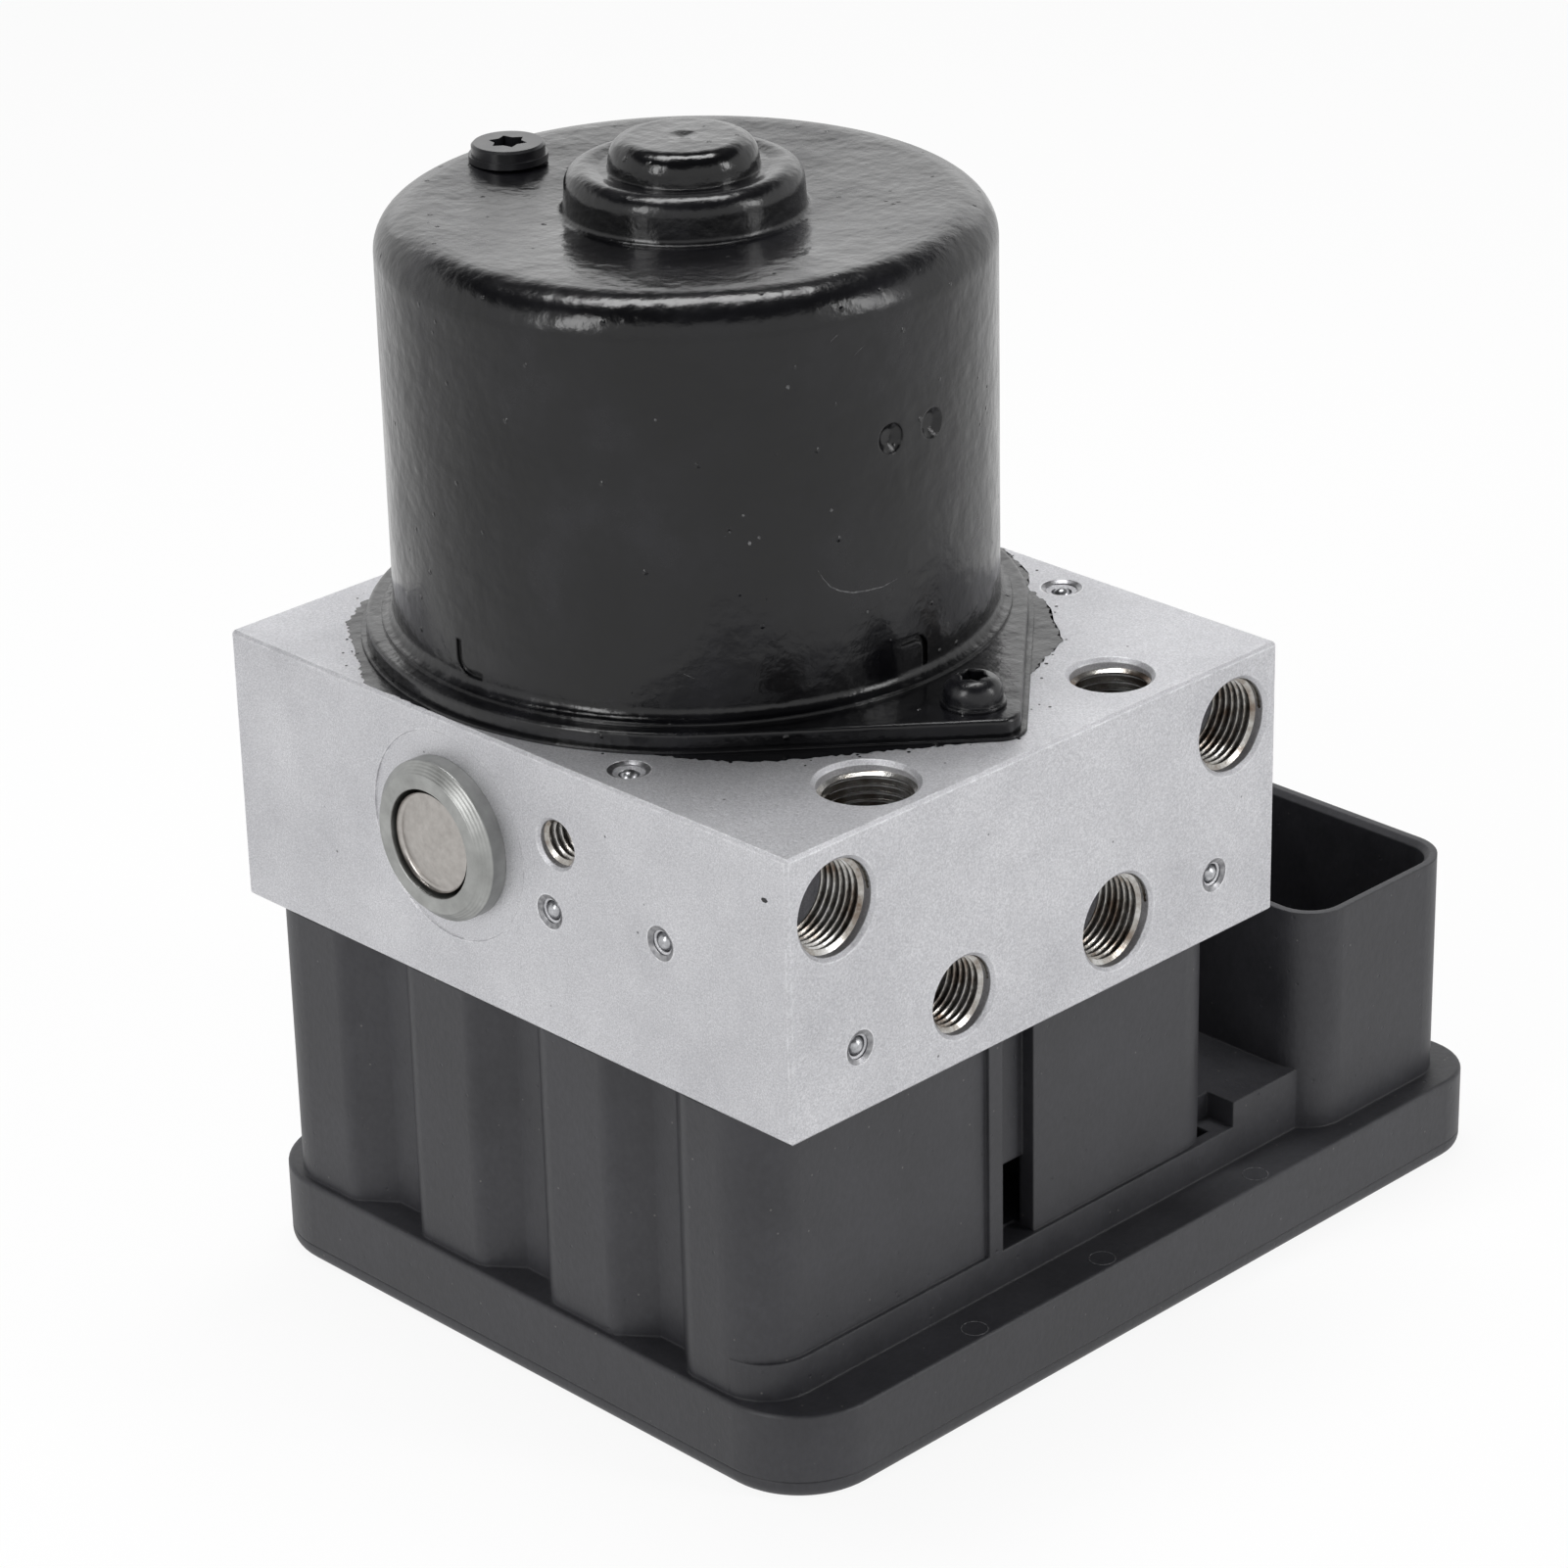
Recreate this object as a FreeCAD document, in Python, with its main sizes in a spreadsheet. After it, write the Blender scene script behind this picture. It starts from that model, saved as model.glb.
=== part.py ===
import FreeCAD, Part
import math
import os
import re
import Sketcher

doc = FreeCAD.newDocument("brake_module")
sheet = doc.addObject("Spreadsheet::Sheet", "Sizes")
nodes = []

# The driving dimensions, in millimetres, degrees or counts
SIZES = {
    # Valve block, seen from its port side
    "block_width": 85,
    "block_depth": 98.5,
    "block_height": 36.6,
    "block_edge": 0.4,
    "fit_gap": 0.05,

    # Brake ports: thread outside radius, thread length, mouth chamfer and the flared seat at the bottom
    "large_port_radius": 6,
    "small_port_radius": 5,
    "port_length": 11,
    "port_chamfer": 0.5,
    "port_seat_radius": 3.3,
    "port_seat_height": 1.8,
    "port_runout": 0.3,
    "port_runout_gap": 0.2,
    "passage_radius": 1.75,
    "passage_length": 6,
    "high_port_spread": 34.5,
    "high_port_drop": 8.8,
    "low_port_spread": 13.6,
    "low_port_drop": 27.85,
    "top_port_spread": 21.1,
    "top_port_setback": 8.3,

    # Threaded mounting holes in the two side faces and the back face
    "mount_radius": 3,
    "mount_length": 11,
    "mount_chamfer": 0.4,
    "mount_setback": 39,
    "mount_drop": 10.5,
    "back_mount_spread": 34,

    # Balls that close the drilled galleries, in their staked recesses
    "ball_radius": 1.25,
    "ball_recess_radius": 2.2,
    "top_ball_recess_radius": 2.6,
    "ball_recess_depth": 0.6,
    "ball_hole_length": 6,
    "front_ball_spread": 31.2,
    "side_ball_setback": 40.5,
    "side_ball_drop": 19.8,
    "near_ball_setback": 21.3,
    "near_ball_drop": 17.5,
    "top_ball_spread": 37.4,
    "top_ball_setback": 31.2,

    # Motor can
    "motor_setback": 58.5,
    "can_radius": 37.8,
    "can_height": 54.4,
    "can_wall": 2,
    "can_edge_round": 4.8,
    "top_dish": 0.9,
    "foot_radius": 41.3,
    "foot_thickness": 2,
    "bead_radius": 39.3,
    "bead_height": 0.4,
    "foot_round": 1.3,
    "foot_edge_round": 0.5,
    "ring_radius": 14.8,
    "ring_height": 5.2,
    "ring_round": 2.3,
    "ring_dish": 0.9,
    "ring_flare": 0.7,
    "dome_radius": 9.3,
    "dome_height": 8.1,
    "dome_round": 2.6,
    "centre_mark_radius": 1.9,
    "centre_mark_depth": 0.3,
    "boss_wall": 1.6,
    "screw_circle": 47.3,
    "ear_reach": 55,
    "ear_round": 3,
    "rear_ear_turn": 135,
    "gasket_thickness": 0.4,
    "gasket_margin": 0.7,
    "dimple_height": 34.3,
    "dimple_spread": 3.5,
    "dimple_radius": 1.9,
    "dimple_depth": 1,
    "crimp_height": 6.1,
    "crimp_length": 4.4,
    "crimp_width": 0.9,
    "crimp_depth": 0.6,

    # Screws of the motor
    "motor_screw_radius": 3,
    "motor_screw_length": 12,
    "motor_head_radius": 3.6,
    "motor_head_height": 3,
    "motor_head_round": 2,
    "collar_radius": 4,
    "collar_thickness": 0.5,
    "socket_radius": 1.9,
    "socket_depth": 1.7,

    # Vent plug on the can's top
    "vent_offset_side": 3.3,
    "vent_offset_back": 28.1,
    "vent_head_radius": 4.6,
    "vent_head_height": 1.4,
    "vent_collar_radius": 4.95,
    "vent_collar_height": 0.8,
    "vent_stem_radius": 2.8,
    "vent_socket_radius": 2.5,

    # Motor inside
    "upper_bearing_radius": 12,
    "upper_bearing_height": 7,
    "upper_journal_radius": 4.5,
    "lower_bearing_radius": 13,
    "lower_bearing_height": 8,
    "lower_bearing_drop": 0.4,
    "shaft_radius": 5,
    "running_gap": 0.04,
    "magnet_thickness": 5,
    "magnet_height": 30,
    "magnet_floor": 14,
    "magnet_half_turn": 36,
    "air_gap": 0.8,
    "core_floor": 16,
    "core_height": 26,
    "slot_depth": 13,
    "slot_width": 4.2,
    "slot_count": 10,
    "winding_overhang": 5.5,
    "winding_inner_radius": 12,
    "winding_outer_radius": 27,
    "winding_gap": 0.3,
    "commutator_radius": 10,
    "commutator_floor": 4,
    "commutator_height": 8,
    "brush_plate_radius": 34.5,
    "brush_plate_thickness": 3,
    "brush_plate_hole": 13.6,
    "brush_length": 12,
    "brush_width": 6,
    "brush_height": 5,
    "brush_gap": 0.3,
    "brush_box_wall": 1.2,

    # Eccentric and pumps
    "pump_drop": 15.6,
    "eccentric_radius": 6.5,
    "eccentric_offset": 0.8,
    "eccentric_height": 9,
    "eccentric_ring_radius": 9.5,
    "chamber_gap": 0.5,
    "chamber_floor_gap": 2.5,
    "cam_clearance": 0.3,
    "piston_radius": 4,
    "piston_length": 17,
    "sleeve_radius": 8,
    "sleeve_length": 21.5,
    "pump_spring_radius": 2.9,
    "pump_wire_radius": 0.4,
    "pump_spring_pitch": 2.1,
    "plug_stand": 3.3,
    "plug_radius": 10.3,
    "plug_chamfer": 1.4,
    "plug_thread_radius": 9.6,
    "plug_depth": 7.6,
    "cap_radius": 6.4,
    "cap_gap": 0.55,
    "cap_recess": 0.1,
    "spot_face_radius": 13.5,
    "spot_face_depth": 0.15,

    # Low pressure accumulators in the back face
    "accumulator_spread": 20,
    "accumulator_drop": 15.6,
    "accumulator_radius": 9,
    "accumulator_depth": 24,
    "accumulator_piston_length": 8,
    "accumulator_cap_thickness": 3,
    "accumulator_cap_stand": 1.6,
    "accumulator_wire_radius": 0.6,
    "accumulator_spring_radius": 6,
    "accumulator_spring_pitch": 3.4,
    "rest_gap": 0.3,

    # Valves and their coils
    "valve_spread": 30,
    "valve_first": 17,
    "valve_pitch": 23.5,
    "valve_radius": 5,
    "valve_depth": 9,
    "valve_collar_radius": 6,
    "valve_collar_thickness": 1.2,
    "valve_tube_radius": 3.2,
    "valve_tube_wall": 0.65,
    "valve_tube_length": 27,
    "armature_length": 13,
    "armature_travel": 0.3,
    "valve_seat_radius": 0.8,
    "coil_radius": 7.6,
    "coil_length": 26,
    "coil_flange": 1.4,
    "coil_step": 0.8,
    "coil_gap": 0.4,

    # Control unit housing
    "base_length": 130.3,
    "base_depth": 101.9,
    "base_corner": 11.5,
    "base_outer_corner": 8,
    "flange_height": 9.2,
    "flange_edge": 0.5,
    "housing_height": 39.2,
    "lobe_inset": 1.1,
    "lobe_first": 14.5,
    "lobe_pitch": 24.5,
    "lobe_half_width": 5.6,
    "lobe_flank": 4.6,
    "valley_depth": 3.7,
    "lobe_round": 3,
    "housing_front": 7.2,
    "housing_back": 97.2,
    "housing_right_inset": 1,
    "housing_corner": 7,
    "housing_wall": 2.4,
    "housing_top_chamfer": 1.2,
    "skirt_height": 5.1,
    "skirt_step": 0.6,
    "groove_left": 40,
    "groove_width": 8.6,
    "groove_depth": 1.9,
    "strip_width": 2.4,
    "window_height": 10.2,
    "ledge_height": 8.7,
    "ledge_end": 15,
    "notch_width": 2,
    "notch_length": 4.5,
    "pocket_half_width": 14.5,
    "chamber_floor": 5.4,

    # Connector shroud
    "shroud_left": 97.8,
    "shroud_width": 29.1,
    "shroud_front": 3.6,
    "shroud_length": 66.4,
    "shroud_height": 31.4,
    "shroud_wall": 1.7,
    "shroud_corner": 6,
    "shroud_bevel": 0.7,
    "shroud_floor": 3,
    "key_width": 1.6,
    "key_reach": 3,
    "key_setback": 9.5,
    "key_drop": 4,
    "pin_width": 0.8,
    "pin_rise": 9,
    "pin_pitch": 4.4,
    "pin_row_spread": 4.5,
    "blade_width": 4.8,
    "blade_spread": 26,

    # Cover, board and seal
    "cover_thickness": 2.6,
    "cover_round": 1.8,
    "seam_chamfer": 0.22,
    "flange_wall": 2.4,
    "seal_thickness": 0.6,
    "seal_inset": 0.8,
    "board_thickness": 1.6,
    "rib_height": 3,
    "rib_width": 1.8,
    "ceiling_thickness": 2.5,
    "ecu_screw_spread": 18,
    "ecu_screw_radius": 1.7,
    "ecu_screw_grip": 8,
    "ecu_head_radius": 3.1,
    "ecu_head_height": 3,
    "lead_offset": 30,
    "lead_radius": 4.8,
}
for row, (name, value) in enumerate(SIZES.items(), 1):
    sheet.set(f"A{row}", name)
    sheet.set(f"B{row}", str(value))
    sheet.setAlias(f"B{row}", name)
doc.recompute()

# Places that the sizes lead to, as formulas in their names
LEFT = "((plug_stand - base_length) / 2)"
FRONT = "(-base_depth / 2)"
BACK = f"({FRONT} + block_depth)"
FLANGE_TOP = "(cover_thickness + flange_height)"
BLOCK_FLOOR = f"({FLANGE_TOP} + housing_height)"
BLOCK_TOP = f"({BLOCK_FLOOR} + block_height)"
AXIS_X = f"({LEFT} + block_width / 2)"
AXIS_Y = f"({FRONT} + motor_setback)"
PUMP_Z = f"({BLOCK_TOP} - pump_drop)"
CAN_TOP = f"({BLOCK_TOP} + can_height)"
HOUSING_TOP = f"({BLOCK_FLOOR} - seal_thickness)"
CHAMBER_FLOOR = f"({FLANGE_TOP} + chamber_floor)"
CAN_INNER = "(can_radius - can_wall)"
CORE_RADIUS = f"({CAN_INNER} - magnet_thickness - air_gap)"
BOARD_TOP = "(cover_thickness + rib_height + board_thickness)"
CEILING = f"({FLANGE_TOP} - ceiling_thickness)"
SHROUD_FLOOR = f"({FLANGE_TOP} + shroud_floor)"

FACING = {
    "+Z": ((1, 0, 0), 90),
    "-Z": ((1, 0, 0), -90),
    "+Y": ((0, 0, 1), 0),
    "-Y": ((0, 0, 1), 180),
    "-X": ((0, 0, 1), 90),
    "+X": ((0, 0, 1), -90),
}
STANDING = {
    "+Z": ((1, 0, 0), 0),
    "-Z": ((1, 0, 0), 180),
    "+Y": ((1, 0, 0), -90),
    "-X": ((0, 1, 0), -90),
    "+X": ((0, 1, 0), 90),
}


def bound(text):
    """The same formula, with each size name pointed at its cell."""
    def point(word):
        return "Sizes." + word.group() if word.group() in SIZES else word.group()
    return re.sub(r"[a-z_]+", point, text)


def number(name):
    """The plain number in a cell, for choosing edges and counting copies."""
    return float(sheet.get(name))


def keep(item, node):
    """Name a finished sub-part and put it on the list of pieces to write."""
    item.Label = node
    nodes.append(item)
    return item


def set_base(item, prop, at):
    """Tie a placement's position to the sizes."""
    for letter, value in zip("xyz", at):
        item.setExpression(f"{prop}.Base.{letter}", bound(value))


def place(item, at, facing="+Z"):
    """Stand a finished piece with its own Z axis along a direction."""
    axis, angle = STANDING[facing]
    item.Placement = FreeCAD.Placement(FreeCAD.Vector(), FreeCAD.Rotation(FreeCAD.Vector(*axis), angle))
    set_base(item, "Placement", at)
    return item


def sketch_on(body, name, role="XY_Plane", at=("0", "0", "0"), turn=((0, 0, 1), 0)):
    """A sketch on one of the body's own planes, moved and turned from it."""
    plane = next(item for item in body.Origin.OriginFeatures if item.Role == role)
    sketch = body.newObject("Sketcher::SketchObject", name)
    sketch.AttachmentSupport = [(plane, "")]
    sketch.MapMode = "FlatFace"
    axis, angle = turn
    sketch.AttachmentOffset = FreeCAD.Placement(FreeCAD.Vector(), FreeCAD.Rotation(FreeCAD.Vector(*axis), angle))
    set_base(sketch, "AttachmentOffset", at)
    return sketch


def draw(sketch, points):
    """Close an outline through points whose coordinates are formulas."""
    count = len(points)
    spots = [FreeCAD.Vector(math.cos(math.tau * i / count), math.sin(math.tau * i / count)) for i in range(count)]
    sketch.addGeometry([Part.LineSegment(spots[i], spots[(i + 1) % count]) for i in range(count)], False)
    for i in range(count):
        sketch.addConstraint(Sketcher.Constraint("Coincident", i, 2, (i + 1) % count, 1))
    for i, point in enumerate(points):
        for kind, value in zip(("DistanceX", "DistanceY"), point):
            index = sketch.addConstraint(Sketcher.Constraint(kind, -1, 1, i, 1, 1.0))
            sketch.setExpression(f"Constraints[{index}]", bound(value))
    return sketch


def box_points(x_low, y_low, x_high, y_high):
    """The four corners of a rectangle."""
    return [(x_low, y_low), (x_high, y_low), (x_high, y_high), (x_low, y_high)]


def volume_of(body):
    """The solid's volume after a fresh calculation."""
    doc.recompute()
    return body.Shape.Volume


def pad(body, name, points, floor, height, turn=0, centre=("0", "0")):
    """Add a prism that stands on a level."""
    at = (centre[0], centre[1], floor)
    feature_sketch = draw(sketch_on(body, name + "_outline", at=at, turn=((0, 0, 1), turn)), points)
    feature = body.newObject("PartDesign::Pad", name)
    feature.Profile = feature_sketch
    feature.setExpression("Length", bound(height))
    return feature


def pocket(body, name, points, level, depth, upward=False):
    """Cut a prism down from a level, or up from it."""
    before = volume_of(body)
    feature_sketch = draw(sketch_on(body, name + "_outline", at=("0", "0", level)), points)
    feature = body.newObject("PartDesign::Pocket", name)
    feature.Profile = feature_sketch
    feature.Reversed = upward
    feature.setExpression("Length", bound(depth))
    if volume_of(body) >= before:
        raise RuntimeError(name + " cuts nothing")
    return feature


def bore(body, name, profile, at, facing):
    """Cut a turned hole: its profile is (radius, height above the mouth)."""
    before = volume_of(body)
    feature_sketch = draw(sketch_on(body, name + "_profile", at=at, turn=FACING[facing]), profile)
    feature = body.newObject("PartDesign::Groove", name)
    feature.Profile = feature_sketch
    feature.ReferenceAxis = (feature_sketch, ["V_Axis"])
    feature.Angle = 360
    if volume_of(body) >= before:
        raise RuntimeError(name + " cuts nothing")
    return feature


def drill(body, name, radius, depth, at, facing):
    """Cut a plain round hole with a flat bottom."""
    profile = [("0", "1"), (radius, "1"), (radius, f"-({depth})"), ("0", f"-({depth})")]
    return bore(body, name, profile, at, facing)


def spin(body, name, profile):
    """Add a turned solid about the body's own Z axis."""
    feature_sketch = draw(sketch_on(body, name + "_profile", "XZ_Plane"), profile)
    feature = body.newObject("PartDesign::Revolution", name)
    feature.Profile = feature_sketch
    feature.ReferenceAxis = (feature_sketch, ["V_Axis"])
    feature.Angle = 360
    return feature


def turned(name, profile, at=("0", "0", "0"), facing="+Z"):
    """A sub-part that is one turned solid, stood where it belongs."""
    body = doc.addObject("PartDesign::Body", name)
    spin(body, name + "_turned", profile)
    return place(body, at, facing)


def edge_key(edge):
    """What tells one edge from another between two steps of a body."""
    middle = edge.BoundBox.Center
    return (round(middle.x, 3), round(middle.y, 3), round(middle.z, 3), round(edge.Length, 3))


def dress(body, kind, name, radius, choose):
    """Round or bevel the edges of the last step that a test picks."""
    doc.recompute()
    base = body.Tip
    picked = [f"Edge{i + 1}" for i, edge in enumerate(base.Shape.Edges) if choose(edge)]
    if not picked:
        raise RuntimeError(name + " finds no edge")
    feature = body.newObject("PartDesign::" + kind, name)
    feature.Base = (base, picked)
    feature.setExpression("Radius" if kind == "Fillet" else "Size", bound(radius))
    return feature


def upright(edge):
    """True for a straight edge along Z."""
    return isinstance(edge.Curve, Part.Line) and abs(edge.Curve.Direction.z) > 0.999


def new_uprights(body, before, test=lambda point: True):
    """Pick the upright edges that the last step brought, where a test on their middle holds."""
    known = {edge_key(edge) for edge in before.Edges}
    return lambda edge: upright(edge) and edge_key(edge) not in known and test(edge.BoundBox.Center)


def at_corners(limits, inset):
    """True for a point at a corner of a rectangle moved in by an inset, in numbers."""
    left, front, right, back = limits

    def test(point):
        near_x = min(abs(point.x - left - inset), abs(point.x - right + inset)) < 0.01
        return near_x and min(abs(point.y - front - inset), abs(point.y - back + inset)) < 0.01
    return test


def ring_edge(radius, height):
    """Pick the circular edges about Z of one radius at one height, given as numbers."""
    def choose(edge):
        if not isinstance(edge.Curve, Part.Circle):
            return False
        same_radius = abs(edge.Curve.Radius - radius) < 0.01
        return same_radius and abs(edge.BoundBox.Center.z - height) < 0.01
    return choose


def star_points(outer, inner):
    """The outline of a six-pointed recess."""
    points = []
    for i in range(12):
        reach = outer if i % 2 == 0 else inner
        angle = math.tau * i / 12
        points.append((f"{reach} * {math.cos(angle):.5f}", f"{reach} * {math.sin(angle):.5f}"))
    return points


def group(name, items):
    """Several like pieces, kept as separate solids of one node."""
    compound = doc.addObject("Part::Compound", name)
    compound.Links = items
    return compound


def coil_spring(name, radius, wire, pitch, length, at, facing):
    """A wound wire spring about its own Z axis, starting at its placement."""
    helix = doc.addObject("Part::Helix", name + "_line")
    helix.setExpression("Radius", bound(radius))
    helix.setExpression("Pitch", bound(pitch))
    helix.setExpression("Height", bound(f"{length} - 2 * {wire}"))
    section = doc.addObject("Part::Circle", name + "_wire")
    section.setExpression("Radius", bound(wire))
    section.Placement = FreeCAD.Placement(FreeCAD.Vector(), FreeCAD.Rotation(FreeCAD.Vector(1, 0, 0), 90))
    set_base(section, "Placement", (radius, "0", "0"))
    doc.recompute()
    sweep = doc.addObject("Part::Sweep", name)
    sweep.Sections = [section]
    sweep.Spine = (helix, [f"Edge{i + 1}" for i in range(len(helix.Shape.Edges))])
    sweep.Solid = True
    sweep.Frenet = True
    return place(sweep, at, facing)


# Valve block

def port(body, name, radius, at, facing):
    """A brake pipe port: chamfered mouth, straight thread and a male flare seat over the passage."""
    seat_top = "port_length - port_seat_height"
    thread_end = f"{seat_top} - port_runout_gap"
    profile = [
        ("0", "1"),
        (f"{radius} + port_chamfer", "1"),
        (f"{radius} + port_chamfer", "0"),
        (radius, "-port_chamfer"),
        (radius, f"-({thread_end})"),
        (f"{radius} + port_runout", f"-({thread_end})"),
        (f"{radius} + port_runout", "-port_length"),
        ("port_seat_radius", "-port_length"),
        ("passage_radius", f"-({seat_top})"),
        ("passage_radius", "-(port_length + passage_length)"),
        ("0", "-(port_length + passage_length + passage_radius / 2)"),
    ]
    bore(body, name, profile, at, facing)


def ball_places():
    """Where each gallery is closed by a ball: name, mouth and the way it faces."""
    low = f"{BLOCK_TOP} - low_port_drop"
    right = f"{LEFT} + block_width"
    places = []
    for side, sign in (("left", "-"), ("right", "+")):
        face = LEFT if side == "left" else right
        facing = "-X" if side == "left" else "+X"
        places.append((f"front_{side}", (f"{AXIS_X} {sign} front_ball_spread", FRONT, low), "-Y"))
        places.append((f"top_{side}", (f"{AXIS_X} {sign} top_ball_spread", f"{FRONT} + top_ball_setback", BLOCK_TOP), "+Z"))
        places.append((f"{side}_far", (face, f"{FRONT} + side_ball_setback", f"{BLOCK_TOP} - side_ball_drop"), facing))
        places.append((f"{side}_near", (face, f"{FRONT} + near_ball_setback", f"{BLOCK_TOP} - near_ball_drop"), facing))
    return places


def mount_places():
    """Mouths of the threaded mounting holes."""
    height = f"{BLOCK_TOP} - mount_drop"
    right = f"{LEFT} + block_width"
    return [
        ("left_mount", (LEFT, f"{FRONT} + mount_setback", height), "-X"),
        ("right_mount", (right, f"{FRONT} + mount_setback", height), "+X"),
        ("back_mount", (f"{AXIS_X} - back_mount_spread", BACK, f"{BLOCK_TOP} - accumulator_drop"), "+Y"),
    ]


def motor_screw_places():
    """Centres of the two motor screws: straight in front of the axis and to the rear right."""
    turn = math.radians(number("rear_ear_turn") - 90)
    rear_x = f"{AXIS_X} + screw_circle * {math.cos(turn):.6f}"
    rear_y = f"{AXIS_Y} + screw_circle * {math.sin(turn):.6f}"
    return [("front", AXIS_X, f"{AXIS_Y} - screw_circle"), ("rear", rear_x, rear_y)]


def valve_places():
    """Centres of the valves: an inlet row on the left and an outlet row on the right."""
    rows = []
    for kind, sign in (("inlet", "-"), ("outlet", "+")):
        for i in range(4):
            x = f"({AXIS_X} {sign} valve_spread)"
            y = f"({FRONT} + valve_first + {i} * valve_pitch)"
            rows.append((kind, i + 1, x, y))
    return rows


def ecu_screw_places():
    """Centres of the screws that pull the control unit up to the block."""
    places = []
    for sign in ("-", "+"):
        for steps in (0.5, 2.5):
            places.append((f"{AXIS_X} {sign} ecu_screw_spread", f"{FRONT} + valve_first + {steps} * valve_pitch"))
    return places


def valve_block():
    """Extruded aluminium block with every hole that can be seen and every seat that holds a piece."""
    body = doc.addObject("PartDesign::Body", "valve_block")
    outline = box_points(LEFT, FRONT, f"{LEFT} + block_width", BACK)
    pad(body, "block_blank", outline, BLOCK_FLOOR, "block_height")
    dress(body, "Chamfer", "block_edges", "block_edge", lambda edge: True)

    high = f"{BLOCK_TOP} - high_port_drop"
    low = f"{BLOCK_TOP} - low_port_drop"
    top_y = f"{FRONT} + top_port_setback"
    port(body, "port_front_high_left", "large_port_radius", (f"{AXIS_X} - high_port_spread", FRONT, high), "-Y")
    port(body, "port_front_high_right", "large_port_radius", (f"{AXIS_X} + high_port_spread", FRONT, high), "-Y")
    port(body, "port_front_low_left", "small_port_radius", (f"{AXIS_X} - low_port_spread", FRONT, low), "-Y")
    port(body, "port_front_low_right", "large_port_radius", (f"{AXIS_X} + low_port_spread", FRONT, low), "-Y")
    port(body, "port_top_left", "large_port_radius", (f"{AXIS_X} - top_port_spread", top_y, BLOCK_TOP), "+Z")
    port(body, "port_top_right", "small_port_radius", (f"{AXIS_X} + top_port_spread", top_y, BLOCK_TOP), "+Z")

    for name, at, facing in mount_places():
        profile = [
            ("0", "1"),
            ("mount_radius + mount_chamfer", "1"),
            ("mount_radius + mount_chamfer", "0"),
            ("mount_radius", "-mount_chamfer"),
            ("mount_radius", "-mount_length"),
            ("0", "-(mount_length + mount_radius / 2)"),
        ]
        bore(body, name, profile, at, facing)

    for name, at, facing in ball_places():
        mouth = "top_ball_recess_radius" if facing == "+Z" else "ball_recess_radius"
        profile = [
            ("0", "1"),
            (mouth, "1"),
            (mouth, "-ball_recess_depth / 2"),
            ("ball_radius + fit_gap", "-ball_recess_depth"),
            ("ball_radius + fit_gap", "-ball_hole_length"),
            ("0", "-ball_hole_length"),
        ]
        bore(body, "gallery_" + name, profile, at, facing)

    pump_bores(body)
    accumulator_bores(body)
    motor_seat(body)
    for kind, i, x, y in valve_places():
        drill(body, f"{kind}_bore_{i}", "valve_radius + fit_gap", "valve_depth", (x, y, BLOCK_FLOOR), "-Z")
    for i, (x, y) in enumerate(ecu_screw_places()):
        drill(body, f"ecu_screw_hole_{i + 1}", "ecu_screw_radius + fit_gap", "ecu_screw_grip + rest_gap", (x, y, BLOCK_FLOOR), "-Z")
    return keep(body, "valve_block")


def pump_bores(body):
    """Stepped bores from both sides to the eccentric chamber, with a shallow spot face round each mouth."""
    for side, face, facing in (("left", LEFT, "-X"), ("right", f"{LEFT} + block_width", "+X")):
        profile = [
            ("0", "1"),
            ("spot_face_radius", "1"),
            ("spot_face_radius", "-spot_face_depth"),
            ("plug_thread_radius + fit_gap", "-spot_face_depth"),
            ("plug_thread_radius + fit_gap", "-plug_depth"),
            ("sleeve_radius + fit_gap", "-plug_depth"),
            ("sleeve_radius + fit_gap", "-block_width / 2"),
            ("0", "-block_width / 2"),
        ]
        bore(body, "pump_bore_" + side, profile, (face, AXIS_Y, PUMP_Z), facing)


def accumulator_bores(body):
    """Two blind bores from the back face."""
    for side, sign in (("left", "-"), ("right", "+")):
        at = (f"{AXIS_X} {sign} accumulator_spread", BACK, f"{BLOCK_TOP} - accumulator_drop")
        drill(body, "accumulator_bore_" + side, "accumulator_radius + fit_gap", "accumulator_depth", at, "+Y")


def motor_seat(body):
    """Bearing seat, eccentric chamber, screw holes and the lead hole under the motor."""
    chamber = "(eccentric_ring_radius + eccentric_offset + chamber_gap)"
    seat = "lower_bearing_drop + lower_bearing_height"
    profile = [
        ("0", "1"),
        ("lower_bearing_radius + fit_gap", "1"),
        ("lower_bearing_radius + fit_gap", f"-({seat})"),
        (chamber, f"-({seat})"),
        (chamber, "-(pump_drop + eccentric_height / 2 + chamber_floor_gap)"),
        ("0", "-(pump_drop + eccentric_height / 2 + chamber_floor_gap)"),
    ]
    bore(body, "eccentric_chamber", profile, (AXIS_X, AXIS_Y, BLOCK_TOP), "+Z")
    for name, x, y in motor_screw_places():
        drill(body, f"motor_screw_hole_{name}", "motor_screw_radius + fit_gap", "motor_screw_length + rest_gap", (x, y, BLOCK_TOP), "+Z")
    lead_at = (AXIS_X, f"{AXIS_Y} + lead_offset", BLOCK_TOP)
    drill(body, "lead_hole", "lead_radius + fit_gap", "block_height + 1", lead_at, "+Z")


def closing_balls():
    """The balls pressed into the ends of the galleries."""
    balls = []
    depth = "(ball_radius + fit_gap)"
    moves = {"-Y": (1, "+"), "+Z": (2, "-"), "-X": (0, "+"), "+X": (0, "-")}
    for name, at, facing in ball_places():
        ball = doc.addObject("Part::Sphere", "ball_" + name)
        ball.setExpression("Radius", bound("ball_radius"))
        axis, sign = moves[facing]
        spot = list(at)
        spot[axis] = f"{spot[axis]} {sign} {depth}"
        set_base(ball, "Placement", spot)
        balls.append(ball)
    return keep(group("closing_balls", balls), "closing_balls")


# Motor

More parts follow.
